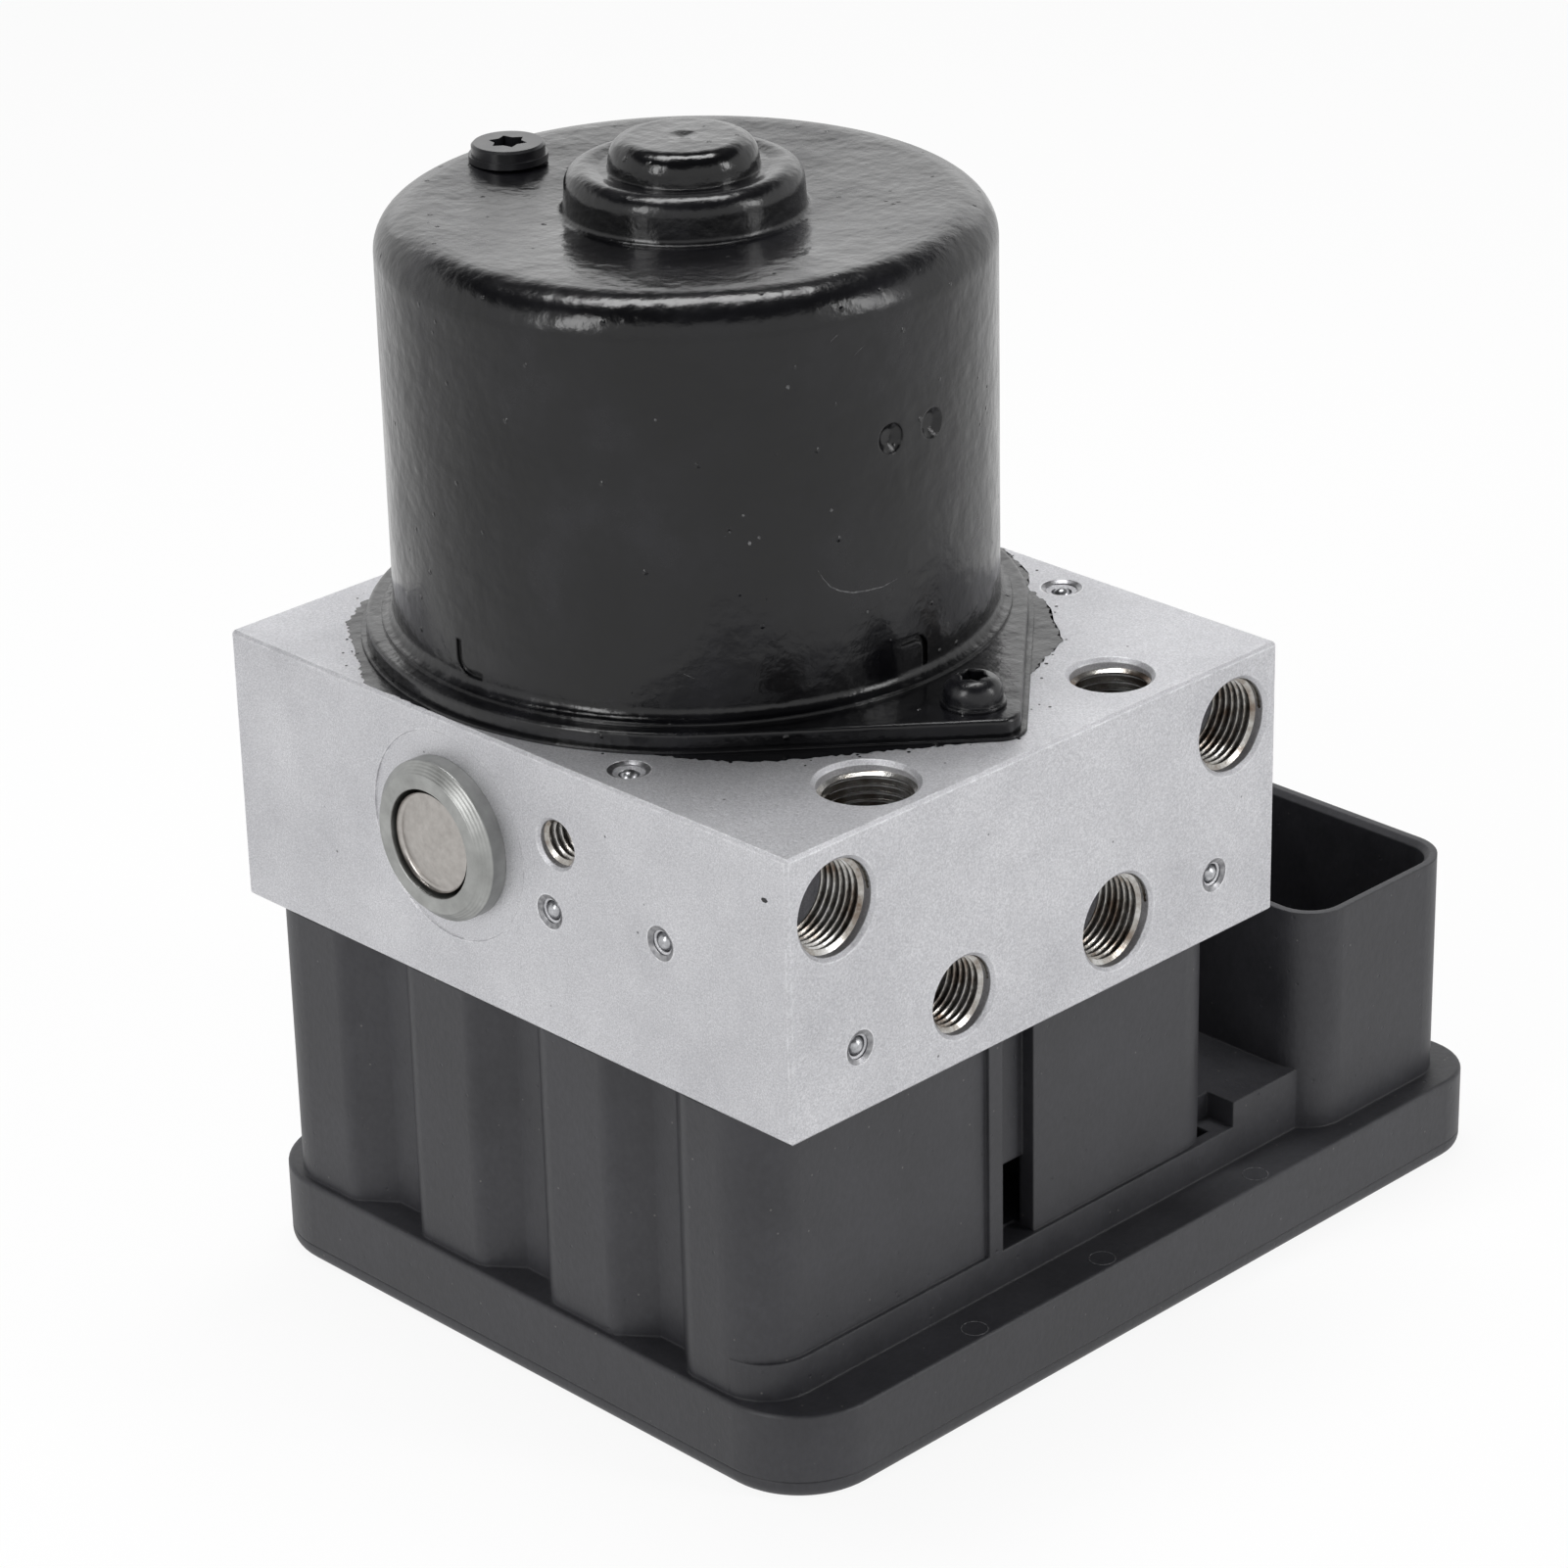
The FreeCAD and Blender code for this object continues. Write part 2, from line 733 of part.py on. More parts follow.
def ear_points(margin):
    """A screw ear as a wedge whose sides touch the foot's circle, pointing to the front."""
    circle = f"(foot_radius + {margin})"
    cosine = "(foot_radius / ear_reach)"
    sine = f"sqrt(1 - {cosine} * {cosine})"
    return [
        (f"-{circle} * {sine}", f"-{circle} * {cosine}"),
        ("0", f"-{circle} / {cosine}"),
        (f"{circle} * {sine}", f"-{circle} * {cosine}"),
    ]


def add_ears(body, name, margin, floor, height):
    """Pad both screw ears onto a foot or a gasket and round their tips."""
    turns = (("front", 0), ("rear", number("rear_ear_turn")))
    for place_name, turn in turns:
        pad(body, f"{name}_ear_{place_name}", ear_points(margin), floor, height, turn)
        reach = number("ear_reach") - 0.5

        def at_tip(edge):
            middle = edge.BoundBox.Center
            return upright(edge) and math.hypot(middle.x, middle.y) > reach
        dress(body, "Fillet", f"{name}_ear_tip_{place_name}", f"ear_round + {margin}", at_tip)


def drill_ears(body, name, level, depth):
    """The screw holes of both ears, in the motor's own frame."""
    turn = math.radians(number("rear_ear_turn") - 90)
    spots = [("front", "0", "-screw_circle"),
             ("rear", f"screw_circle * {math.cos(turn):.6f}", f"screw_circle * {math.sin(turn):.6f}")]
    for place_name, x, y in spots:
        drill(body, f"{name}_hole_{place_name}", "motor_screw_radius + fit_gap", depth, (x, y, level), "+Z")


def crimp_mark(body, name, role, distance, flip, rise):
    """A bent groove that a punch leaves in the wall: an upright leg, a round corner and a lying leg."""
    outer = "(crimp_length / 2)"
    inner = "(crimp_length / 2 - crimp_width)"
    points = [(outer, outer), (inner, outer)]
    for i in range(7):
        angle = math.radians(15 * i)
        points.append((f"{inner} * {math.cos(angle):.5f}", f"-{inner} * {math.sin(angle):.5f}"))
    points += [(f"-{outer}", f"-{inner}"), (f"-{outer}", f"-{outer}")]
    for i in range(6, -1, -1):
        angle = math.radians(15 * i)
        points.append((f"{outer} * {math.cos(angle):.5f}", f"-{outer} * {math.sin(angle):.5f}"))
    points = [(f"{flip} * ({x})", f"{rise} * ({y})") for x, y in points]
    feature = body.newObject("PartDesign::Pocket", name)
    feature.Profile = draw(sketch_on(body, name + "_outline", role, ("0", "crimp_height", distance)), points)
    feature.Midplane = True
    feature.setExpression("Length", bound("2 * crimp_depth"))


def motor_housing():
    """The deep drawn can: foot, bead, wall, rounded top, bearing ring and dome, with screw ears."""
    body = doc.addObject("PartDesign::Body", "motor_housing")
    foot_top = "(gasket_thickness + foot_thickness)"
    ring_top = "(can_height + ring_height)"
    dome_top = "(can_height + dome_height)"
    spin(body, "can_outside", [
        ("0", "gasket_thickness"),
        ("foot_radius", "gasket_thickness"),
        ("foot_radius", foot_top),
        ("bead_radius", foot_top),
        ("bead_radius", f"{foot_top} + bead_height"),
        ("can_radius", f"{foot_top} + bead_height"),
        ("can_radius", "can_height"),
        ("can_radius - can_edge_round - 1", "can_height"),
        ("ring_radius", "can_height - top_dish"),
        ("ring_radius - 0.4", ring_top),
        ("dome_radius + 1.1", f"{ring_top} - ring_dish"),
        ("dome_radius", f"{ring_top} - ring_dish"),
        ("dome_radius - 0.5", dome_top),
        ("centre_mark_radius", dome_top),
        ("0", f"{dome_top} - centre_mark_depth"),
    ])
    add_ears(body, "foot", "0", "gasket_thickness", "foot_thickness")
    foot_level = number("gasket_thickness") + number("foot_thickness")
    outside = number("foot_radius") - 0.1

    def foot_rim(edge):
        middle = edge.valueAt((edge.FirstParameter + edge.LastParameter) / 2)
        return abs(middle.z - foot_level) < 0.01 and math.hypot(middle.x, middle.y) > outside
    dress(body, "Fillet", "foot_edge", "foot_edge_round", foot_rim)
    bead_level = foot_level + number("bead_height")
    dress(body, "Fillet", "wall_foot", "foot_round", ring_edge(number("can_radius"), bead_level))
    top = number("can_height")
    dress(body, "Fillet", "can_top_round", "can_edge_round", ring_edge(number("can_radius"), top))
    dress(body, "Fillet", "ring_crest_round", "ring_round", ring_edge(number("ring_radius") - 0.4, top + number("ring_height")))
    dress(body, "Fillet", "ring_foot", "ring_flare", ring_edge(number("ring_radius"), top - number("top_dish")))
    dress(body, "Fillet", "dome_crest_round", "dome_round", ring_edge(number("dome_radius") - 0.5, top + number("dome_height")))
    seat = "(upper_bearing_radius + fit_gap)"
    hollow = "(dome_radius - 0.5 - boss_wall)"
    bore(body, "can_inside", [
        ("0", "gasket_thickness - 1"),
        (CAN_INNER, "gasket_thickness - 1"),
        (CAN_INNER, "can_height - can_wall"),
        (seat, "can_height - can_wall - top_dish"),
        (seat, f"{ring_top} - boss_wall"),
        (hollow, f"{ring_top} - boss_wall"),
        (hollow, f"{dome_top} - boss_wall"),
        ("0", f"{dome_top} - boss_wall"),
    ], ("0", "0", "0"), "+Z")
    drill_ears(body, "foot", foot_top, "foot_thickness + 1")
    vent_at = ("-vent_offset_side", "vent_offset_back", "can_height")
    drill(body, "vent_hole", "vent_stem_radius + fit_gap", "can_wall + 1", vent_at, "+Z")
    for side, sign in (("left", "-"), ("right", "")):
        profile = [
            ("0", "2"),
            ("dimple_radius", "2"),
            ("dimple_radius", "-dimple_depth / 3"),
            ("dimple_radius / 2", "-dimple_depth"),
            ("0", "-dimple_depth"),
        ]
        bore(body, "dimple_" + side, profile, (f"{sign}dimple_spread", "-can_radius", "dimple_height"), "-Y")
    crimp_mark(body, "crimp_front", "XZ_Plane", "can_radius", 1, -1)
    crimp_mark(body, "crimp_left", "YZ_Plane", "-can_radius", 1, 1)
    crimp_mark(body, "crimp_back", "XZ_Plane", "-can_radius", -1, 1)
    crimp_mark(body, "crimp_right", "YZ_Plane", "can_radius", -1, 1)
    place(body, (AXIS_X, AXIS_Y, BLOCK_TOP))
    return keep(body, "motor_housing")


def motor_gasket():
    """Thin plate under the can's foot, a little larger all round."""
    body = doc.addObject("PartDesign::Body", "motor_gasket")
    outer = "foot_radius + gasket_margin"
    spin(body, "gasket_plate", [("0", "0"), (outer, "0"), (outer, "gasket_thickness"), ("0", "gasket_thickness")])
    add_ears(body, "gasket", "gasket_margin", "0", "gasket_thickness")
    drill(body, "gasket_opening", CAN_INNER, "gasket_thickness + 1", ("0", "0", "gasket_thickness"), "+Z")
    drill_ears(body, "gasket", "gasket_thickness", "gasket_thickness + 1")
    place(body, (AXIS_X, AXIS_Y, BLOCK_TOP))
    return keep(body, "motor_gasket")


def motor_screws():
    """Two domed screws with a washer collar and a six-pointed socket."""
    screws = []
    for name, x, y in motor_screw_places():
        body = doc.addObject("PartDesign::Body", "motor_screw_" + name)
        top = "(collar_thickness + motor_head_height)"
        crest = number("collar_thickness") + number("motor_head_height")
        spin(body, f"motor_screw_{name}_turned", [
            ("0", "-(foot_thickness + gasket_thickness + motor_screw_length)"),
            ("motor_screw_radius", "-(foot_thickness + gasket_thickness + motor_screw_length)"),
            ("motor_screw_radius", "0"),
            ("collar_radius", "0"),
            ("collar_radius", "collar_thickness"),
            ("motor_head_radius", "collar_thickness"),
            ("motor_head_radius", top),
            ("0", top),
        ])
        dress(body, "Fillet", f"motor_screw_{name}_dome", "motor_head_round", ring_edge(number("motor_head_radius"), crest))
        pocket(body, f"motor_screw_{name}_socket", star_points("socket_radius", "socket_radius * 0.72"), top, "socket_depth")
        place(body, (x, y, f"{BLOCK_TOP} + gasket_thickness + foot_thickness"))
        screws.append(body)
    return keep(group("motor_screws", screws), "motor_screws")


def motor_vent_plug():
    """Round plug on the can's top, with a wider head and a six-pointed socket."""
    body = doc.addObject("PartDesign::Body", "motor_vent_plug")
    top = "(vent_collar_height + vent_head_height)"
    spin(body, "vent_turned", [
        ("0", "-(can_wall + 0.5)"),
        ("vent_stem_radius", "-(can_wall + 0.5)"),
        ("vent_stem_radius", "0"),
        ("vent_collar_radius", "0"),
        ("vent_collar_radius", "vent_collar_height"),
        ("vent_head_radius", "vent_collar_height"),
        ("vent_head_radius", f"{top} - 0.3"),
        ("vent_head_radius - 0.3", top),
        ("0", top),
    ])
    pocket(body, "vent_socket", star_points("vent_socket_radius", "vent_socket_radius * 0.68"), top, "socket_depth")
    place(body, (f"{AXIS_X} - vent_offset_side", f"{AXIS_Y} + vent_offset_back", CAN_TOP))
    return keep(body, "motor_vent_plug")


def tube_profile(inner, outer, floor, top):
    """The half section of a plain tube."""
    return [(inner, floor), (outer, floor), (outer, top), (inner, top)]


def bearings():
    """Sealed ball bearings at the top of the can and in the block, and the one on the eccentric."""
    upper = tube_profile("upper_journal_radius + running_gap", "upper_bearing_radius", "-upper_bearing_height", "0")
    at = (AXIS_X, AXIS_Y, f"{CAN_TOP} + ring_height - boss_wall")
    keep(turned("upper_bearing", upper, at), "upper_bearing")
    lower = tube_profile("shaft_radius + running_gap", "lower_bearing_radius", "-lower_bearing_height", "0")
    keep(turned("lower_bearing", lower, (AXIS_X, AXIS_Y, f"{BLOCK_TOP} - lower_bearing_drop")), "lower_bearing")
    half = "eccentric_height / 2"
    ring = tube_profile("eccentric_radius + fit_gap", "eccentric_ring_radius", f"-{half}", half)
    at = (AXIS_X, f"{AXIS_Y} - eccentric_offset", PUMP_Z)
    keep(turned("eccentric_bearing", ring, at), "eccentric_bearing")


def field_magnets():
    """Four curved magnets against the can's wall."""
    half = math.radians(number("magnet_half_turn"))
    inner = f"({CAN_INNER} - magnet_thickness)"
    outer = f"({CAN_INNER} - fit_gap)"
    for i in range(4):
        whole = doc.addObject("Part::Cylinder", f"magnet_{i + 1}_outside")
        whole.setExpression("Radius", bound(outer))
        hollow = doc.addObject("Part::Cylinder", f"magnet_{i + 1}_inside")
        hollow.setExpression("Radius", bound(inner))
        for item in (whole, hollow):
            item.setExpression("Height", bound("magnet_height"))
            item.setExpression("Angle", bound("2 * magnet_half_turn"))
        arc = doc.addObject("Part::Cut", f"field_magnet_{i + 1}")
        arc.Base = whole
        arc.Tool = hollow
        turn = math.degrees(math.pi / 2 * i - half)
        arc.Placement = FreeCAD.Placement(FreeCAD.Vector(), FreeCAD.Rotation(FreeCAD.Vector(0, 0, 1), turn))
        set_base(arc, "Placement", (AXIS_X, AXIS_Y, f"{BLOCK_TOP} + magnet_floor"))
        keep(arc, f"field_magnet_{i + 1}")


def armature_shaft():
    """The rotor's shaft with the eccentric turned on its lower end."""
    body = doc.addObject("PartDesign::Body", "shaft_body")
    journal_floor = "(can_height + ring_height - boss_wall - upper_bearing_height)"
    low = "-(pump_drop + eccentric_height / 2)"
    spin(body, "shaft_turned", [
        ("0", f"{low} - chamber_floor_gap + rest_gap"),
        ("shaft_radius - 2", f"{low} - chamber_floor_gap + rest_gap"),
        ("shaft_radius - 2", low),
        ("shaft_radius", low),
        ("shaft_radius", f"{journal_floor} - rest_gap"),
        ("upper_journal_radius", f"{journal_floor} - rest_gap"),
        ("upper_journal_radius", "can_height + dome_height - boss_wall - 1"),
        ("0", "can_height + dome_height - boss_wall - 1"),
    ])
    half = "eccentric_height / 2"
    disc = doc.addObject("Part::Cylinder", "eccentric_disc")
    disc.setExpression("Radius", bound("eccentric_radius"))
    disc.setExpression("Height", bound("eccentric_height"))
    set_base(disc, "Placement", ("0", "-eccentric_offset", f"-pump_drop - {half}"))
    shaft = doc.addObject("Part::Fuse", "armature_shaft_whole")
    shaft.Base = body
    shaft.Tool = disc
    place(shaft, (AXIS_X, AXIS_Y, BLOCK_TOP))
    return keep(shaft, "armature_shaft")


def slot_points(width, inner, outer, turn):
    """A radial slot in the core's section, turned about the axis."""
    cosine = f"{math.cos(turn):.6f}"
    sine = f"{math.sin(turn):.6f}"
    corners = [(inner, f"-{width} / 2"), (outer, f"-{width} / 2"), (outer, f"{width} / 2"), (inner, f"{width} / 2")]
    return [(f"({x}) * {cosine} - ({y}) * {sine}", f"({x}) * {sine} + ({y}) * {cosine}") for x, y in corners]


def armature_core():
    """Stacked steel core with open slots for the winding."""
    body = doc.addObject("PartDesign::Body", "armature_core")
    spin(body, "core_stack", tube_profile("shaft_radius + fit_gap", CORE_RADIUS, "0", "core_height"))
    inner = f"({CORE_RADIUS} - slot_depth)"
    outline = slot_points("slot_width", inner, f"({CORE_RADIUS} + 1)", 0)
    slot = pocket(body, "core_slot", outline, "core_height", "core_height")
    pattern = body.newObject("PartDesign::PolarPattern", "core_slots")
    pattern.Originals = [slot]
    pattern.Axis = (slot.Profile[0], ["N_Axis"])
    pattern.Angle = 360
    pattern.Occurrences = int(number("slot_count"))
    body.Tip = pattern
    place(body, (AXIS_X, AXIS_Y, f"{BLOCK_TOP} + core_floor"))
    return keep(body, "armature_core")


def armature_winding():
    """Copper winding: a bundle over each end of the core, joined through the slots."""
    body = doc.addObject("PartDesign::Body", "armature_winding")
    inner = "winding_inner_radius"
    outer = "winding_outer_radius"
    lower_top = "core_floor - winding_gap"
    spin(body, "winding_lower", tube_profile(inner, outer, f"{lower_top} - winding_overhang / 2", lower_top))
    bar_inner = f"({CORE_RADIUS} - slot_depth + winding_gap)"
    bar_width = "(slot_width - 2 * winding_gap)"
    floor = f"{lower_top} - 0.2"
    height = "core_height + 2 * winding_gap + 0.4"
    bar = pad(body, "winding_bar", slot_points(bar_width, bar_inner, f"({outer} - 0.2)", 0), floor, height)
    pattern = body.newObject("PartDesign::PolarPattern", "winding_bars")
    pattern.Originals = [bar]
    pattern.Axis = (bar.Profile[0], ["N_Axis"])
    pattern.Angle = 360
    pattern.Occurrences = int(number("slot_count"))
    body.Tip = pattern
    doc.recompute()
    upper_floor = "core_floor + core_height + winding_gap"
    spin(body, "winding_upper", tube_profile(inner, outer, upper_floor, f"{upper_floor} + winding_overhang"))
    place(body, (AXIS_X, AXIS_Y, BLOCK_TOP))
    return keep(body, "armature_winding")


def commutator():
    """Copper commutator with a raised collar for the wire ends."""
    top = "commutator_height"
    profile = [
        ("shaft_radius + fit_gap", "0"),
        ("commutator_radius", "0"),
        ("commutator_radius", f"{top} - 1.4"),
        ("commutator_radius + 1.2", f"{top} - 1.4"),
        ("commutator_radius + 1.2", top),
        ("shaft_radius + fit_gap", top),
    ]
    at = (AXIS_X, AXIS_Y, f"{BLOCK_TOP} + commutator_floor")
    return keep(turned("commutator", profile, at), "commutator")


def brush_holder():
    """Moulded disc under the rotor with a box for each brush."""
    body = doc.addObject("PartDesign::Body", "brush_holder")
    spin(body, "brush_plate", tube_profile("brush_plate_hole", "brush_plate_radius", "0", "brush_plate_thickness"))
    wide = "(brush_width / 2 + fit_gap + brush_box_wall)"
    start = "(brush_plate_hole + 0.6)"
    end = "(commutator_radius + brush_gap + brush_length + 3)"
    box_top = "(brush_height + 2 * fit_gap + brush_box_wall + commutator_floor - brush_plate_thickness)"
    narrow = "(brush_width / 2 + fit_gap)"
    for side, sign in (("left", "-"), ("right", "")):
        box = box_points(f"{sign}{start}", f"-{wide}", f"{sign}{end}", wide)
        pad(body, "brush_box_" + side, box, "brush_plate_thickness", box_top)
        channel = box_points(f"{sign}({start} - 1)", f"-{narrow}", f"{sign}({end} - 1.5)", narrow)
        level = "commutator_floor - fit_gap"
        pocket(body, "brush_channel_" + side, channel, level, "brush_height + 2 * fit_gap", upward=True)
    place(body, (AXIS_X, AXIS_Y, BLOCK_TOP))
    return keep(body, "brush_holder")


def brushes():
    """Carbon brushes, a hair off the commutator."""
    for side, sign in (("left", "-"), ("right", "+")):
        near = "(commutator_radius + brush_gap)"
        body = doc.addObject("PartDesign::Body", "brush_" + side)
        low = near if side == "right" else f"-({near} + brush_length)"
        high = f"({near} + brush_length)" if side == "right" else f"-{near}"
        outline = box_points(low, "-brush_width / 2", high, "brush_width / 2")
        pad(body, f"brush_{side}_block", outline, "commutator_floor", "brush_height")
        place(body, (AXIS_X, AXIS_Y, BLOCK_TOP))
        keep(body, "brush_" + side)


# Pumps

def pumps():
    """Left and right pump: sleeve, piston, spring, cap and the plated ring that holds them."""
    tip = "(eccentric_ring_radius + eccentric_offset + cam_clearance)"
    half = "(block_width / 2)"
    sleeve_end = f"({half} - plug_depth - fit_gap)"
    for side, sign, facing in (("left", "-", "-X"), ("right", "+", "+X")):
        at = (AXIS_X, AXIS_Y, PUMP_Z)
        bore_radius = "piston_radius + running_gap"
        sleeve = tube_profile(bore_radius, "sleeve_radius", f"{sleeve_end} - sleeve_length", sleeve_end)
        keep(turned(f"pump_sleeve_{side}", sleeve, at, facing), f"pump_sleeve_{side}")
        back = f"({tip} + piston_length)"
        piston = [
            ("0", tip),
            ("piston_radius - 0.6", tip),
            ("piston_radius", f"{tip} + 0.6"),
            ("piston_radius", back),
            ("0", back),
        ]
        keep(turned(f"pump_piston_{side}", piston, at, facing), f"pump_piston_{side}")
        spring_at = (f"{AXIS_X} {sign} ({back} + pump_wire_radius)", AXIS_Y, PUMP_Z)
        length = f"({half} - plug_depth - {back})"
        spring = coil_spring(f"pump_spring_{side}", "pump_spring_radius", "pump_wire_radius", "pump_spring_pitch",
                             length, spring_at, facing)
        keep(spring, f"pump_spring_{side}")
        cap = [
            ("0", f"{half} - plug_depth"),
            ("cap_radius", f"{half} - plug_depth"),
            ("cap_radius", f"{half} + plug_stand - cap_recess - 0.3"),
            ("cap_radius - 0.3", f"{half} + plug_stand - cap_recess"),
            ("0", f"{half} + plug_stand - cap_recess"),
        ]
        keep(turned(f"pump_cap_{side}", cap, at, facing), f"pump_cap_{side}")
        inner = "(cap_radius + cap_gap)"
        ring = [
            (inner, f"{half} - plug_depth + fit_gap"),
            ("plug_thread_radius", f"{half} - plug_depth + fit_gap"),
            ("plug_thread_radius", f"{half} - spot_face_depth"),
            ("plug_radius", f"{half} - spot_face_depth"),
            ("plug_radius", f"{half} + plug_stand - plug_chamfer"),
            ("plug_radius - plug_chamfer", f"{half} + plug_stand"),
            (f"{inner} + 0.5", f"{half} + plug_stand"),
            (inner, f"{half} + plug_stand - 0.5"),
        ]
        keep(turned(f"pump_ring_{side}", ring, at, facing), f"pump_ring_{side}")


def accumulators():
    """Left and right accumulator: piston at the bottom of its bore, spring and staked cap."""
    for side, sign in (("left", "-"), ("right", "+")):
        at = (f"{AXIS_X} {sign} accumulator_spread", BACK, f"{BLOCK_TOP} - accumulator_drop")
        floor = "-(accumulator_depth - rest_gap)"
        crown = f"({floor} + accumulator_piston_length)"
        wall = "1.6"
        piston = [
            ("0", floor),
            ("accumulator_radius - running_gap", floor),
            ("accumulator_radius - running_gap", crown),
            (f"accumulator_radius - {wall}", crown),
            (f"accumulator_radius - {wall}", f"{floor} + 3"),
            ("0", f"{floor} + 3"),
        ]
        keep(turned(f"accumulator_piston_{side}", piston, at, "+Y"), f"accumulator_piston_{side}")
        cap_floor = "-accumulator_cap_thickness"
        spring_at = (at[0], f"{BACK} + {floor} + 3 + accumulator_wire_radius", at[2])
        spring = coil_spring(f"accumulator_spring_{side}", "accumulator_spring_radius", "accumulator_wire_radius",
                             "accumulator_spring_pitch", f"({cap_floor} - {floor} - 3)", spring_at, "+Y")
        keep(spring, f"accumulator_spring_{side}")
        cap = [
            ("0", cap_floor),
            ("accumulator_radius", cap_floor),
            ("accumulator_radius", "0.2"),
            ("accumulator_radius - 1.2", "0.2"),
            ("accumulator_radius - 2", "accumulator_cap_stand"),
            ("0", "accumulator_cap_stand"),
        ]
        keep(turned(f"accumulator_cap_{side}", cap, at, "+Y"), f"accumulator_cap_{side}")


# Valves and coils

def valves():
    """Pressed-in valve bodies with their closed tubes, the armatures inside them and the coils round them."""
    bodies = {"inlet": [], "outlet": []}
    coils = {"inlet": [], "outlet": []}
    bore_radius = "(valve_tube_radius - valve_tube_wall)"
    end = "(valve_collar_thickness + valve_tube_length)"
    for kind, i, x, y in valve_places():
        at = (x, y, BLOCK_FLOOR)
        seat = f"{end} - 1.5 - armature_length - 2 * rest_gap - armature_travel"
        body_profile = [
            ("0", f"-({end})"),
            ("valve_tube_radius - 1", f"-({end})"),
            ("valve_tube_radius", f"-({end} - 1)"),
            ("valve_tube_radius", "-valve_collar_thickness"),
            ("valve_collar_radius", "-valve_collar_thickness"),
            ("valve_collar_radius", "0"),
            ("valve_radius", "0"),
            ("valve_radius", "valve_depth - fit_gap - 0.5"),
            ("valve_radius - 0.5", "valve_depth - fit_gap"),
            ("valve_seat_radius", "valve_depth - fit_gap"),
            ("valve_seat_radius", f"-({seat})"),
            (bore_radius, f"-({seat})"),
            (bore_radius, f"-({end} - 1.5)"),
            ("0", f"-({end} - 1.5)"),
        ]
        bodies[kind].append(turned(f"{kind}_valve_{i}", body_profile, at))
        rest = "rest_gap" if kind == "inlet" else "(rest_gap + armature_travel)"
        floor = f"-({end} - 1.5 - {rest})"
        armature = [
            ("0", floor),
            (f"{bore_radius} - running_gap", floor),
            (f"{bore_radius} - running_gap", f"{floor} + armature_length - 1"),
            (f"{bore_radius} - 0.8", f"{floor} + armature_length"),
            ("0", f"{floor} + armature_length"),
        ]
        keep(turned(f"{kind}_armature_{i}", armature, at), f"{kind}_armature_{i}")
        top = "(valve_collar_thickness + coil_gap)"
        inner = "valve_tube_radius + fit_gap"
        waist = "coil_radius - coil_step"
        coil_profile = [
            (inner, f"-({top} + coil_length)"),
            ("coil_radius", f"-({top} + coil_length)"),
            ("coil_radius", f"-({top} + coil_length - coil_flange)"),
            (waist, f"-({top} + coil_length - coil_flange)"),
            (waist, f"-({top} + coil_flange)"),
            ("coil_radius", f"-({top} + coil_flange)"),
            ("coil_radius", f"-{top}"),
            (inner, f"-{top}"),
        ]
        coils[kind].append(turned(f"{kind}_coil_{i}", coil_profile, at))
    for kind in ("inlet", "outlet"):
        keep(group(f"{kind}_valve_bodies", bodies[kind]), f"{kind}_valve_bodies")
        keep(group(f"{kind}_coils", coils[kind]), f"{kind}_coils")


# Control unit

def base_box():
    """The control unit's outline before its corners are rounded."""
    return box_points(LEFT, FRONT, f"{LEFT} + base_length", f"{FRONT} + base_depth")


def inner_base(inset):
    """The same outline well inside its edge, with its corners drawn in short straight steps."""
    far_x = f"{LEFT} + base_length"
    far_y = f"{FRONT} + base_depth"
    corners = [
        (f"{far_x} - base_outer_corner", f"{far_y} - base_outer_corner", "base_outer_corner"),
        (f"{LEFT} + base_corner", f"{far_y} - base_corner", "base_corner"),
        (f"{LEFT} + base_corner", f"{FRONT} + base_corner", "base_corner"),
        (f"{far_x} - base_outer_corner", f"{FRONT} + base_outer_corner", "base_outer_corner"),
    ]
    points = []
    for quarter, (x, y, corner) in enumerate(corners):
        for i in range(7):
            angle = math.pi * (quarter / 2 + i / 12)
            points.append((f"{x} + ({corner} - {inset}) * {math.cos(angle):.5f}",
                           f"{y} + ({corner} - {inset}) * {math.sin(angle):.5f}"))
    return points


def round_base(body, name, before):
    """Round the corners of a base outline: wide ones on the left, smaller ones by the shroud."""
    middle = number("plug_stand") / 2
    left = new_uprights(body, before, lambda point: point.x < middle)
    dress(body, "Fillet", name + "_left", "base_corner", left)
    right = new_uprights(body, before, lambda point: point.x > middle)
    dress(body, "Fillet", name + "_right", "base_outer_corner", right)


def lobe_outline():
    """The coil chambers' outline: straight front, right and back, four fluted lobes on the left."""
    face = f"({LEFT} + lobe_inset)"
    valley = f"({LEFT} + lobe_inset + valley_depth)"
    right = f"({LEFT} + block_width - housing_right_inset)"
    front = f"({FRONT} + housing_front)"
    back = f"({FRONT} + housing_back)"
    points = [(face, front), (right, front), (right, back), (face, back)]
    for i in (3, 2, 1):
        upper = f"({FRONT} + lobe_first + {i} * lobe_pitch - lobe_half_width)"
        lower = f"({FRONT} + lobe_first + {i - 1} * lobe_pitch + lobe_half_width)"
        points += [(face, upper), (valley, f"{upper} - lobe_flank"), (valley, f"{lower} + lobe_flank"), (face, lower)]
    return points


